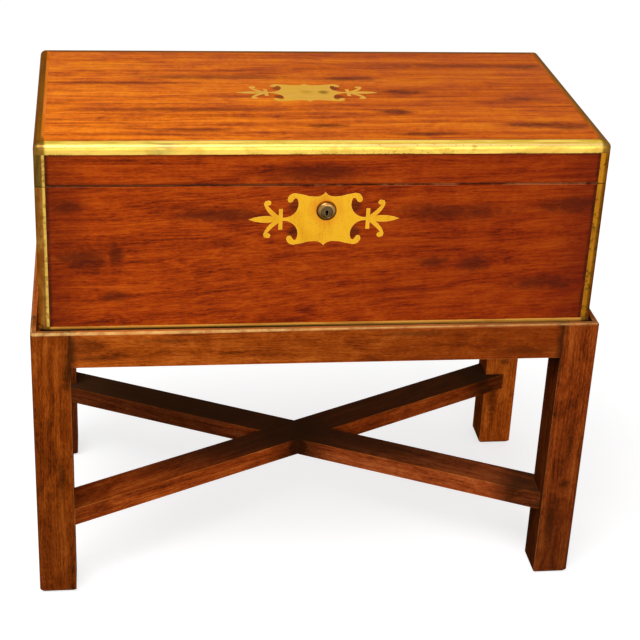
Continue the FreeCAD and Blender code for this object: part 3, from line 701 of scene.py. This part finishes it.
def glints(look, start=0.0009, full=0.0003):
    """Painted highlights and reflection: the strip pale along its inner edge and along its rounded corner,
    and yellow over its flat top.
    """
    up = look.facing()["z"]
    inner = look.span(look.here()["y"], -open_y - start, -open_y - full, 0.0, 0.6)
    ridge = look.times(look.span(up, 0.45, 0.6), look.span(up, 0.85, 0.7, 0.0, 0.2))
    highlight_patches = look.span(look.broad, 0.3, 0.55, 0.2)
    look.tint(look.times(look.span(up, 0.93, 0.99, 0.0, 0.85), highlight_patches), TOP_REFLECTION_YELLOW)
    look.tint(look.times(look.larger(inner, ridge), highlight_patches), GLINT)


@effect_maker
def pits(look, low, high, amount, fade=0.06):
    """Fine dark pits and nicks, most of them between two places along a strip."""
    along = look.here()["x"]
    fine = look.span(look.noise(look.place(), *METAL_PITS), 0.6, 0.7)
    near = look.span(along, low - fade, low)
    near = look.times(near, look.span(along, high + fade, high, 0.0, amount))
    look.tint(look.times(fine, near), TARNISH_AND_SHADE)


@effect_maker
def blotches(look, tint, amount):
    """Patchy tarnish in spots of a few millimetres."""
    patches = look.noise(look.place(), *METAL_BLOTCHES)
    look.tint(look.span(patches, 0.5, 0.62, 0.0, amount), tint)


@effect_maker
def edge_polish(look, tint, amount, outer=0.0048, inner=0.0036, corner=0.018):
    """Polish of the lid run over the flat inner part of its side edging, but not at the front corner."""
    place = look.here()
    across = look.size(place["x"])
    flat = look.span(across, open_x + outer, open_x + inner, 0.0, amount)
    flat = look.times(flat, look.span(place["y"], -open_y, corner - open_y))
    look.tint(look.times(flat, look.span(look.broad, 0.25, 0.5, 0.7)), tint)


@effect_maker
def stain(look, place, near, far, tint, amount):
    """Cloudy stain round a point."""
    cloud = look.span(look.distance(place), far, near, 0.0, amount)
    look.tint(look.times(cloud, look.span(look.broad, 0.25, 0.6, 0.4)), tint)


@effect_maker
def bright_edges(look, tint, amount, radius=0.0006):
    """Painted highlight on the edges of a plate."""
    look.tint(look.times(look.edge_mask(radius), amount), tint)


@effect_maker
def lower_grime(look, level, rise=0.0012):
    """Dirt in the joint along the lower edge of a strip."""
    dirt = look.times(look.span(look.here()["z"], level + rise, level), look.span(look.broad, 0.45, 0.6))
    look.tint(look.times(dirt, look.span(look.fine, 0.35, 0.6, 0.3)), TARNISH_AND_SHADE)


@effect_maker
def seat_shadow(look, amount, above=0.0014, below=0.0002):
    """Painted shadow on the foot edging where it stands in the seat, most of it at the left."""
    place = look.here()
    low = look.span(place["z"], rail_high.z + above, rail_high.z - below)
    left = look.span(place["x"], 0.22, -0.1, 0.2, amount)
    look.tint(look.times(low, left), GRIME_AND_SHADE)


@effect_maker
def shaded_below(look, level, amount, above=0.004, below=0.005):
    """Painted shade on the lower half of a round piece."""
    look.tint(look.span(look.here()["z"], level + above, level - below, 0.0, amount), TARNISH_AND_SHADE)


# Leather and glass


def leather():
    """Dark green skiver with a fine pebble and rubbed patches."""
    look = Look("writing_skiver")
    point = look.place()
    rubbed = look.noise(point, *LEATHER_RUBBING)
    inputs = {"Vector": point, "Scale": LEATHER_PEBBLES}
    pebble = look.node("TexVoronoi", inputs, feature="SMOOTH_F1").outputs["Distance"]
    look.colour = LEATHER_GREEN[0]
    look.tint(look.span(rubbed, 0.35, 0.7), LEATHER_GREEN[1])
    look.tint(look.span(pebble, 0.3, 0.8, 0.0, 0.35), GRIME_AND_SHADE)
    sheen = look.span(rubbed, 0.3, 0.7, 0.42, 0.6)
    return look.finish(sheen, look.bump(pebble, LEATHER_RELIEF, 0.5), specular=0.3)


def gilding():
    """Gold leaf pressed into the leather, worn through in places."""
    look = Look("gilding")
    worn = look.noise(look.place(), *GILDING_WEAR)
    look.colour = GILDING
    look.tint(look.span(worn, 0.52, 0.7, 0.0, 0.8), LEATHER_GREEN[1])
    sheen = look.span(worn, 0.3, 0.7, 0.3, 0.55)
    return look.finish(sheen, look.bump(worn, GILDING_RELIEF, 0.4), metal=0.8)


def glass():
    """Clear old glass with a slight ripple and a green cast."""
    look = Look("old_glass")
    ripple = look.noise(look.place(), *GLASS_RIPPLE)
    look.colour = GLASS_GREEN[0]
    look.tint(ripple, GLASS_GREEN[1])
    look.surface.inputs["Transmission Weight"].default_value = 1.0
    look.surface.inputs["IOR"].default_value = GLASS_IOR
    sheen = look.span(ripple, 0.3, 0.7, 0.02, 0.08)
    return look.finish(sheen, look.bump(ripple, GLASS_RELIEF, 0.4))


def dress(material, *names):
    for name in names:
        nodes[name].material_slots[0].material = material


# Small pieces


def add_piece(name, points, faces, materials, body, sharp=30):
    """New mesh piece that rides on a body."""
    mesh = bpy.data.meshes.new(name)
    mesh.from_pydata(points, [], faces)
    mesh.update()
    mesh.shade_smooth()
    mesh.set_sharp_from_angle(angle=math.radians(sharp))
    for material in materials:
        mesh.materials.append(material)
    piece = bpy.data.objects.new(name, mesh)
    bpy.context.scene.collection.objects.link(piece)
    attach(piece, body)
    return piece


def merge(parts):
    """Points and faces of several parts as one."""
    points = []
    faces = []
    for more_points, more_faces in parts:
        start = len(points)
        points += more_points
        faces += [[start + i for i in face] for face in more_faces]
    return points, faces


def lathe(profile, turn):
    """Points and faces of a closed (radius, height) profile turned about an axis."""
    points = []
    faces = []
    count = len(profile)
    for step in range(LATHE_STEPS):
        angle = 2 * math.pi * step / LATHE_STEPS
        for radius, height in profile:
            points.append(turn @ Vector((radius * math.cos(angle), radius * math.sin(angle), height)))
    for step in range(LATHE_STEPS):
        here = step * count
        there = (step + 1) % LATHE_STEPS * count
        for i in range(count):
            j = (i + 1) % count
            faces.append([here + i, there + i, there + j, here + j])
    return points, faces


def lathe_piece(name, profile, turns, material, body):
    points, faces = merge([lathe(profile, turn) for turn in turns])
    return add_piece(name, points, faces, [material], body)


def add_collar(material):
    """Rounded lock collar with a rolled lip, in place of the plain stepped one."""
    low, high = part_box("lock_nozzle")
    radius = (high.x - low.x) / 2
    proud = wall_low.y - low.y
    depth = high.y - wall_low.y
    bore = (plug_high.x - plug_low.x) / 2 + PLUG_CLEARANCE
    stem = COLLAR_STEM * radius
    lip = bore + COLLAR_LIP * (radius - bore)
    profile = [(bore, -depth), (stem, -depth), (stem, 0.0), (radius, 0.0)]
    for step in range(1, 10):
        angle = math.radians(10 * step)
        profile.append((lip + (radius - lip) * math.cos(angle), proud * math.sin(angle)))
    profile += [(bore + out, proud - back) for out, back in LIP_POINTS]
    centre = Vector(((low.x + high.x) / 2, wall_low.y, (low.z + high.z) / 2))
    turn = Matrix.Translation(centre) @ Matrix.Rotation(math.radians(90), 4, "X")
    collar = lathe_piece("lock_collar", profile, [turn], material, "desk")
    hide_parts("lock_nozzle")
    return centre


def add_keyhole_rim(centre, material):
    """Raised drop-shaped rim round the keyhole."""
    outline = []
    for step in range(15):
        angle = math.radians(-54 + 18 * step)
        outline.append((KEYHOLE_RADIUS * math.cos(angle), KEYHOLE_RADIUS * math.sin(angle)))
    outline += KEYHOLE_FOOT
    points = []
    for x, z in outline:
        away = Vector((x, 0, z)).normalized()
        for out, forward in KEYHOLE_RIM:
            points.append(Vector((centre.x + x, plug_low.y + forward, centre.z + z)) + out * away)
    faces = []
    count = len(outline)
    size = len(KEYHOLE_RIM)
    for i in range(count):
        j = (i + 1) % count
        for k in range(size):
            m = (k + 1) % size
            faces.append([i * size + k, i * size + m, j * size + m, j * size + k])
    add_piece("keyhole_rim", points, faces, [material], "lock_plug")


def screw_half(place, side):
    """One half of a slotted screw head, on one side of the slot."""
    first = math.asin(SCREW_SLOT / 2 / SCREW_RADIUS)
    outline = []
    for step in range(SCREW_STEPS + 1):
        angle = first + (math.pi - 2 * first) * step / SCREW_STEPS
        outline.append((SCREW_RADIUS * math.cos(angle), side * SCREW_RADIUS * math.sin(angle)))
    levels = ((-SCREW_SINK, 1.0), (SCREW_PROUD * SCREW_SHOULDER, 1.0), (SCREW_PROUD, SCREW_CROWN))
    points = []
    for height, scale in levels:
        points += [place @ Vector((scale * x, scale * y, height)) for x, y in outline]
    count = len(outline)
    faces = [list(range(count)), list(range(2 * count, 3 * count))]
    for level in range(2):
        low = level * count
        high = low + count
        for i in range(count):
            j = (i + 1) % count
            faces.append([low + i, low + j, high + j, high + i])
    return points, faces


def add_screws(name, places, material, body):
    halves = []
    for number, place in enumerate(places):
        turned = place @ Matrix.Rotation(FIRST_SLOT_TURN + NEXT_SLOT_TURN * number, 4, "Z")
        halves += [screw_half(turned, side) for side in (1, -1)]
    points, faces = merge(halves)
    add_piece(name, points, faces, [material], body, sharp=40)


def tooled_steps(length):
    """Places across a leather from edge to edge, close together at the tooled lines."""
    edge = [0.0]
    for near, far in TOOLED_LINES:
        edge += [near, near + TOOLING_WALL, far - TOOLING_WALL, far]
    inner = edge[-1] + FIELD_MARGIN
    field = [inner + (length - 2 * inner) * step / FIELD_STEPS for step in range(FIELD_STEPS + 1)]
    return edge + field + [length - place for place in reversed(edge)]


def tooling(distance):
    """Depth of the tooled lines at a distance from the edge."""
    for near, far in TOOLED_LINES:
        if near < distance - TOOLING_SLACK and distance + TOOLING_SLACK < far:
            return TOOLING_DEPTH
    return 0.0


def add_leather(name, node, body, up, materials):
    """Leather sheet laid in its flap, with a double border line pressed in and gilded."""
    low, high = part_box(node)
    width = high.x - low.x
    length = high.y - low.y
    fall = (high.z - low.z - LEATHER_THICKNESS) / length
    surface = high.z if up > 0 else high.z - LEATHER_THICKNESS
    across = tooled_steps(width)
    down = tooled_steps(length)
    points = []
    for v in down:
        for u in across:
            edge = min(u, width - u, v, length - v)
            pillow = PILLOW_DEPTH * (math.sin(PILLOW_WAVE_X * u) * math.sin(PILLOW_WAVE_Y * v) - 1)
            depth = tooling(edge) - (pillow if edge > PILLOW_MARGIN else 0.0)
            points.append(Vector((low.x + u, low.y + v, surface - fall * v - up * depth)))
    columns = len(across)
    faces = []
    gilt = []
    for j in range(len(down) - 1):
        for i in range(columns - 1):
            corner = j * columns + i
            face = [corner, corner + 1, corner + columns + 1, corner + columns]
            faces.append(face if up > 0 else face[::-1])
            u = (across[i] + across[i + 1]) / 2
            v = (down[j] + down[j + 1]) / 2
            gilt.append(tooling(min(u, width - u, v, length - v)) > 0)
    sheet = add_piece(name, points, faces, materials, body, sharp=60)
    for face, gold in zip(sheet.data.polygons, gilt):
        face.material_index = 1 if gold else 0
    solid = sheet.modifiers.new("thickness", "SOLIDIFY")
    solid.thickness = SHEET_SHARE * LEATHER_THICKNESS
    solid.offset = -1.0
    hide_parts(node)


def add_caps(material):
    """Turned brass caps of the ink bottles, with a bead round the crown."""
    low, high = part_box("ink_caps")
    height = high.z - low.z
    radius = (high.y - low.y) / 2
    neck = CAP_NECK * radius
    roof = CAP_HOLLOW * height
    profile = [(AXIS_GAP, height)]
    profile += [(out * radius, rise * height) for out, rise in CAP_CROWN + CAP_BEAD + CAP_SKIRT]
    profile += [(neck, 0.0), (neck, roof), (AXIS_GAP, roof)]
    profile.reverse()
    middle_y = (low.y + high.y) / 2
    turns = [Matrix.Translation((x, middle_y, low.z)) for x in (low.x + radius, high.x - radius)]
    caps = lathe_piece("turned_ink_caps", profile, turns, material, "desk")
    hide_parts("ink_caps")


def on_seam(x, y, height, up):
    """Frame on the sloping seam at (x, y), with its Z axis up or down."""
    surface = wall_high.z + SEAM_GAP / 2 - seam_slope * (y - wall_low.y) + height
    turn = Matrix.Rotation(seam_tilt, 4, "X")
    if not up:
        turn @= Matrix.Rotation(math.pi, 4, "X")
    return Matrix.Translation((x, y, surface)) @ turn


def add_all_screws(hinge_metal, lock_metal):
    """Screws in both leaves of the hinges, on the lock case and on the hasp."""
    low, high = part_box("hinge_desk_leaves")
    leaf_middle = hinge_place.y - LEAF_MIDDLE
    half_gap = SEAM_GAP / 2
    columns = []
    for end, side in ((low.x, 1), (high.x, -1)):
        columns += [end + side * HINGE_LENGTH * share for share in HINGE_SCREWS]
    desk_places = [on_seam(x, leaf_middle, -half_gap, True) for x in columns]
    lid_places = [on_seam(x, leaf_middle, half_gap, False) for x in columns]
    add_screws("hinge_desk_screws", desk_places, hinge_metal, "desk")
    add_screws("hinge_lid_screws", lid_places, hinge_metal, "lid")
    case_low, case_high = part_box("lock_case")
    middle_y = (case_low.y + case_high.y) / 2
    ends = [LOCK_SCREWS * case_low.x, LOCK_SCREWS * case_high.x]
    case_places = [Matrix.Translation((x, middle_y, case_high.z)) for x in ends]
    hasp_places = [on_seam(x, middle_y, half_gap, False) for x in ends]
    add_screws("lock_case_screws", case_places, lock_metal, "desk")
    add_screws("hasp_screws", hasp_places, lock_metal, "lid")


# Floor, light and camera


def visible_ray(tree):
    """1 for rays that show the background: seen directly, in metal or through glass."""
    path = tree.nodes.new("ShaderNodeLightPath")
    total = path.outputs["Is Camera Ray"]
    for name in ("Is Glossy Ray", "Is Transmission Ray"):
        either = tree.nodes.new("ShaderNodeMath")
        either.operation = "MAXIMUM"
        tree.links.new(total, either.inputs[0])
        tree.links.new(path.outputs[name], either.inputs[1])
        total = either.outputs[0]
    return total


def add_floor():
    """Pale floor that takes the object's shadow and runs into the white background far away."""
    half = FLOOR_SIZE / 2
    corners = [(-half, -half, 0), (half, -half, 0), (half, half, 0), (-half, half, 0)]
    mesh = bpy.data.meshes.new("floor")
    mesh.from_pydata(corners, [], [(0, 1, 2, 3)])
    floor = bpy.data.objects.new("floor", mesh)
    bpy.context.scene.collection.objects.link(floor)
    look = Look("floor")
    look.colour = (FLOOR_TONE, FLOOR_TONE, FLOOR_TONE, 1.0)
    look.finish(FLOOR_ROUGH, specular=0.0)
    reach = look.length(look.place())
    glow = look.span(reach, GLOW_START, GLOW_END, FLOOR_GLOW, FAR_FLOOR_GLOW)
    glow = look.times(visible_ray(look.tree), glow)
    look.surface.inputs["Emission Color"].default_value = WHITE
    look.feed(look.surface.inputs["Emission Strength"], glow)
    mesh.materials.append(look.material)


def add_world():
    """White background with a weaker fill on the object."""
    world = bpy.data.worlds.new("studio")
    world.use_nodes = True
    bpy.context.scene.world = world
    tree = world.node_tree
    background = tree.nodes["Background"]
    background.inputs["Color"].default_value = WHITE
    strength = tree.nodes.new("ShaderNodeMapRange")
    strength.inputs["To Min"].default_value = WORLD_FILL
    strength.inputs["To Max"].default_value = 1.0
    tree.links.new(visible_ray(tree), strength.inputs["Value"])
    tree.links.new(strength.outputs["Result"], background.inputs["Strength"])


def add_lamp(name, place, size, power):
    data = bpy.data.lights.new(name, "AREA")
    data.size = size
    data.energy = power
    lamp = bpy.data.objects.new(name, data)
    lamp.location = place
    aim = Vector(AIM) - Vector(place)
    lamp.rotation_euler = aim.to_track_quat("-Z", "Y").to_euler()
    bpy.context.scene.collection.objects.link(lamp)


def add_camera():
    data = bpy.data.cameras.new("camera")
    data.sensor_width = CAMERA_SENSOR
    data.lens = CAMERA_LENS
    camera = bpy.data.objects.new("camera", data)
    turn = Matrix.Rotation(math.radians(CAMERA_HEADING), 4, "Z")
    turn @= Matrix.Rotation(math.radians(CAMERA_PITCH), 4, "X")
    turn @= Matrix.Rotation(math.radians(CAMERA_ROLL), 4, "Z")
    camera.matrix_world = Matrix.Translation(CAMERA_PLACE) @ turn
    bpy.context.scene.collection.objects.link(camera)
    bpy.context.scene.camera = camera


# Dressing of the part


def dress_box():
    """Wood of the desk and its lid."""
    top = [
        drift(*panel_x, LID_RED, 0.4),
        drift(*panel_y, LID_BROWN, 0.3),
        lenses(LID_MARKS, "xyz", LID_LENS, 0.75),
        lenses(DEEP_LID_MARKS, "xyz", DEEP_LID_LENS, 0.68),
        bite_grime("lid_plate"),
        border_grime_and_shade([panel_y]),
    ]
    lid_wood = wood("lid_wood", LID_WOOD, streak=LID_STREAK, weights=LID_GRAIN, specular=0.004, effects=top)
    dress(lid_wood, "lid_top")
    polish = [
        drift(*panel_x, FRONT_RED, 0.42),
        end_shade(FRONT_END, 0.5, 0.42),
        lenses(FRONT_MARKS, "xzy", FRONT_LENS, 0.75),
    ]
    side_grime = border_grime_and_shade([panel_x])
    # Dirt beside the straps, and painted shade under the lid's front strip
    under_strip = border_grime_and_shade([panel_x, ("z", 0.0, strip_edge)])
    lid_front = [*polish, under_strip, seam_edge(True)]
    desk_front = [*polish, bite_grime("front_plate"), side_grime, seam_edge(False)]
    boards = (("lid_front", 1.0, 0.02, lid_front), ("desk_front", 2.3, 0.06, desk_front))
    for name, seed, lean, effects in boards:
        board = wood(name + "_wood", CASE_WOOD, seed=seed, lean=lean, weights=FRONT_GRAIN, effects=effects)
        dress(board, name + "_wall")
    for part, above, back_seed, side_seed in (("lid", True, 3.1, 5.2), ("desk", False, 4.7, 6.4)):
        back_effects = [side_grime, seam_edge(above)]
        dress(wood(part + "_back_wood", CASE_WOOD, seed=back_seed, effects=back_effects), part + "_back_wall")
        side = wood(part + "_side_wood", CASE_WOOD, "yxz", seed=side_seed, effects=[seam_edge(above)])
        dress(side, part + "_left_wall", part + "_right_wall")
    dress(wood("bottom_wood", INNER_WOOD, seed=7.0, rough=0.5), "desk_bottom")


def dress_stand():
    """Wood of the legs, rails and stretcher bars."""
    common = [dark_inside(0.6), worn_edges(0.3), joint_grime(0.8)]
    smudges = lenses(LEG_MARKS, "xzy", GRIME_AND_SHADE, 0.6)

    def leg(name, palette, seed, shade):
        effects = [drift("z", rail_low.z, 0.0, FOOT_SHADE, shade), smudges, *common, rim_wear_and_highlight]
        return wood(name, palette, "zxy", seed=seed, weights=STAND_GRAIN, specular=0.0, effects=effects)

    dress(leg("leg_wood", STAND_WOOD, 1.7, 0.26), "front_left_leg")
    # Painted light and painted shade: lighter and darker copies of the leg wood on single legs
    dress(leg("lit_leg_wood", LIT_LEG_WOOD, 1.7, 0.0), "back_right_leg")
    dress(leg("shaded_leg_wood", SHADED_LEG_WOOD, 2.2, 0.5), "front_right_leg", "back_left_leg")

    red_end = drift(*panel_x, RAIL_RED, 0.54)
    streaks = lenses(RAIL_MARKS, "xzy", RAIL_LENS, 0.55)

    def rail(name, order, seed):
        effects = [red_end, streaks, *common, rim_wear_and_highlight]
        return wood(name, RAIL_WOOD, order, seed=seed, weights=STAND_GRAIN, specular=0.003, effects=effects)

    dress(rail("rail_wood", "xyz", 2.9), "front_rail", "back_rail")
    dress(rail("side_rail_wood", "yxz", 3.3), "left_rail", "right_rail")

    turn = math.atan2(bar_high.y - bar_low.y, bar_high.x - bar_low.x)
    # Wear, dirt and painted shade on the stretcher bars
    dirt = [worn_edges(0.9, 0.0022, WORN_BAR), bar_grime_and_shade(0.85), dark_top(0.85)]
    bars = (("stretcher_over", OVER_BAR_WOOD, -turn, 4.1), ("stretcher_under", UNDER_BAR_WOOD, turn, 5.6))
    for name, palette, bar_turn, seed in bars:
        bar = wood(name + "_wood", palette, turn=bar_turn, seed=seed, weights=BAR_GRAIN,
                   specular=0.0, effects=dirt)
        dress(bar, name)


def dress_inside():
    """Fittings, ink bottles and writing leathers."""
    worn = [worn_edges(0.3)]
    fittings = wood("fitting_wood", INNER_WOOD, seed=8.1, rough=0.42, effects=worn)
    cross_fittings = wood("cross_fitting_wood", INNER_WOOD, "yxz", seed=9.2, rough=0.42, effects=worn)
    dress(fittings, "pen_room_divider", "pen_room_shelf", "pen_tray", "desk_flap", "lid_flap")
    dress(cross_fittings, "ink_dividers", "tray_bearers", "desk_flap_bearers", "lid_flap_bearers")
    dress(glass(), "ink_bottles")
    materials = [leather(), gilding()]
    add_leather("desk_writing_leather", "desk_flap_leather", "desk", 1, materials)
    add_leather("lid_writing_leather", "lid_flap_leather", "lid", -1, materials)


def dress_binding():
    """Edgings round the lid and the foot, and the corner straps."""
    olive = stain((-0.145, -open_y - 0.004, lid_high.z), 0.004, 0.02, STRIP_OLIVE, 0.75)
    spot = stain((0.1286, edging_low.y, lid_high.z - 0.004), 0.0005, 0.004, STRIP_SPOT, 0.8)
    # Dirt, stains and pits, with painted highlights and painted dark reflection at the ends
    worn = [lower_grime(strip_edge), olive, glints, spot, pits(0.0, 0.12, 0.75), dark_ends(0.85)]
    dress(metal("bright_brass", BRIGHT_BRASS, rough=0.4, patina=0.75, effects=worn), "lid_front_edging")
    for side, colours, tint in (("left", DULL_BRASS, LEFT_POLISH), ("right", SHADED_BRASS, RIGHT_POLISH)):
        polish = [edge_polish(tint, 0.85)]
        brass = metal(side + "_edge_brass", colours, "yxz", seed=1.4, rough=0.36, effects=polish)
        dress(brass, "lid_" + side + "_edging")
    dress(metal("dull_brass", DULL_BRASS, seed=1.4, rough=0.36), "lid_back_edging")

    seat = [dark_ends(0.8), seat_shadow(0.85)]
    foot = metal("foot_brass", FOOT_BRASS, seed=2.2, rough=0.5, effects=seat)
    side_foot = metal("side_foot_brass", FOOT_BRASS, "yxz", seed=2.8, rough=0.36)
    dress(foot, "desk_front_edging", "desk_back_edging")
    dress(side_foot, "desk_left_edging", "desk_right_edging")

    flecks = blotches(CORNER_TARNISH_AND_DARK_REFLECTION, 0.6)
    # Painted dark reflection, with tarnish, on the turned sides of the straps
    bright = [dark_corner(STRAP_TARNISH_AND_DARK_REFLECTION, 0.92), flecks]
    dark = [dark_corner(TARNISH_AND_SHADE, 0.95), flecks]
    brown = [dark_corner(CORNER_TARNISH_AND_DARK_REFLECTION, 0.85, 0.0052), blotches(TARNISH_AND_SHADE, 0.7)]
    brass = metal("bright_strap_brass", STRAP_BRASS, "zxy", seed=3.6, rough=0.32, spots=0.8, effects=bright)
    dress(brass, "desk_front_left_strap")
    brass = metal("dark_strap_brass", STRAP_BRASS, "zxy", seed=3.6, rough=0.32, effects=dark)
    dress(brass, "lid_front_left_strap")
    brass = metal("brown_strap_brass", BROWN_BRASS, "zxy", seed=4.9, rough=0.34, spots=0.8, effects=brown)
    for corner in ("front_right", "back_left", "back_right"):
        dress(brass, "desk_" + corner + "_strap", "lid_" + corner + "_strap")


def dress_metalwork():
    """Plates, lock and hinges, with their screws, and the ink caps."""
    lock_metal = metal("lock_bronze", LOCK_METAL, seed=4.4, rough=0.3)
    plug_metal = metal("plug_bronze", PLUG_METAL, seed=5.0, rough=0.36)
    hinge_metal = metal("hinge_brass", HINGE_BRASS, seed=5.8, rough=0.34)
    shade = [shaded_below((plug_low.z + plug_high.z) / 2, 0.85)]
    lock = add_collar(metal("collar_bronze", LOCK_METAL, seed=4.4, rough=0.26, effects=shade))
    add_keyhole_rim(lock, lock_metal)

    halo = stain(lock, 0.009, 0.019, LOCK_HALO, 0.6)
    front = [halo, pits(-0.03, 0.03, 0.3), bright_edges(PLATE_EDGE, 0.6)]
    brass = metal("front_plate_brass", PLATE_BRASS, "zxy", seed=6.1, rough=0.4, spots=0.4, effects=front)
    dress(brass, "front_plate")
    smudge = stain((0.0125, 0.003, lid_high.z), 0.001, 0.0075, LID_PLATE_SMUDGE, 0.9)
    cloud = stain((-0.003, 0.003, lid_high.z), 0.001, 0.009, LID_PLATE_CLOUD, 0.4)
    top = [smudge, cloud, bright_edges(LID_PLATE_EDGE, 0.8)]
    brass = metal("lid_plate_brass", LID_PLATE_BRASS, seed=7.3, rough=0.4, spots=0.25, effects=top)
    dress(brass, "lid_plate")

    dress(lock_metal, "lock_case", "lock_links", "lock_bolt")
    dress(plug_metal, "lock_plug")
    dress(hinge_metal, "hinge_desk_leaves", "hinge_lid_leaves", "hinge_pins")
    add_caps(hinge_metal)
    add_all_screws(hinge_metal, lock_metal)


add_camera()
add_world()
add_floor()
for lamp in LAMPS:
    add_lamp(*lamp)
bpy.context.scene.view_settings.view_transform = "Standard"

dress_box()
dress_stand()
dress_inside()
dress_binding()
dress_metalwork()
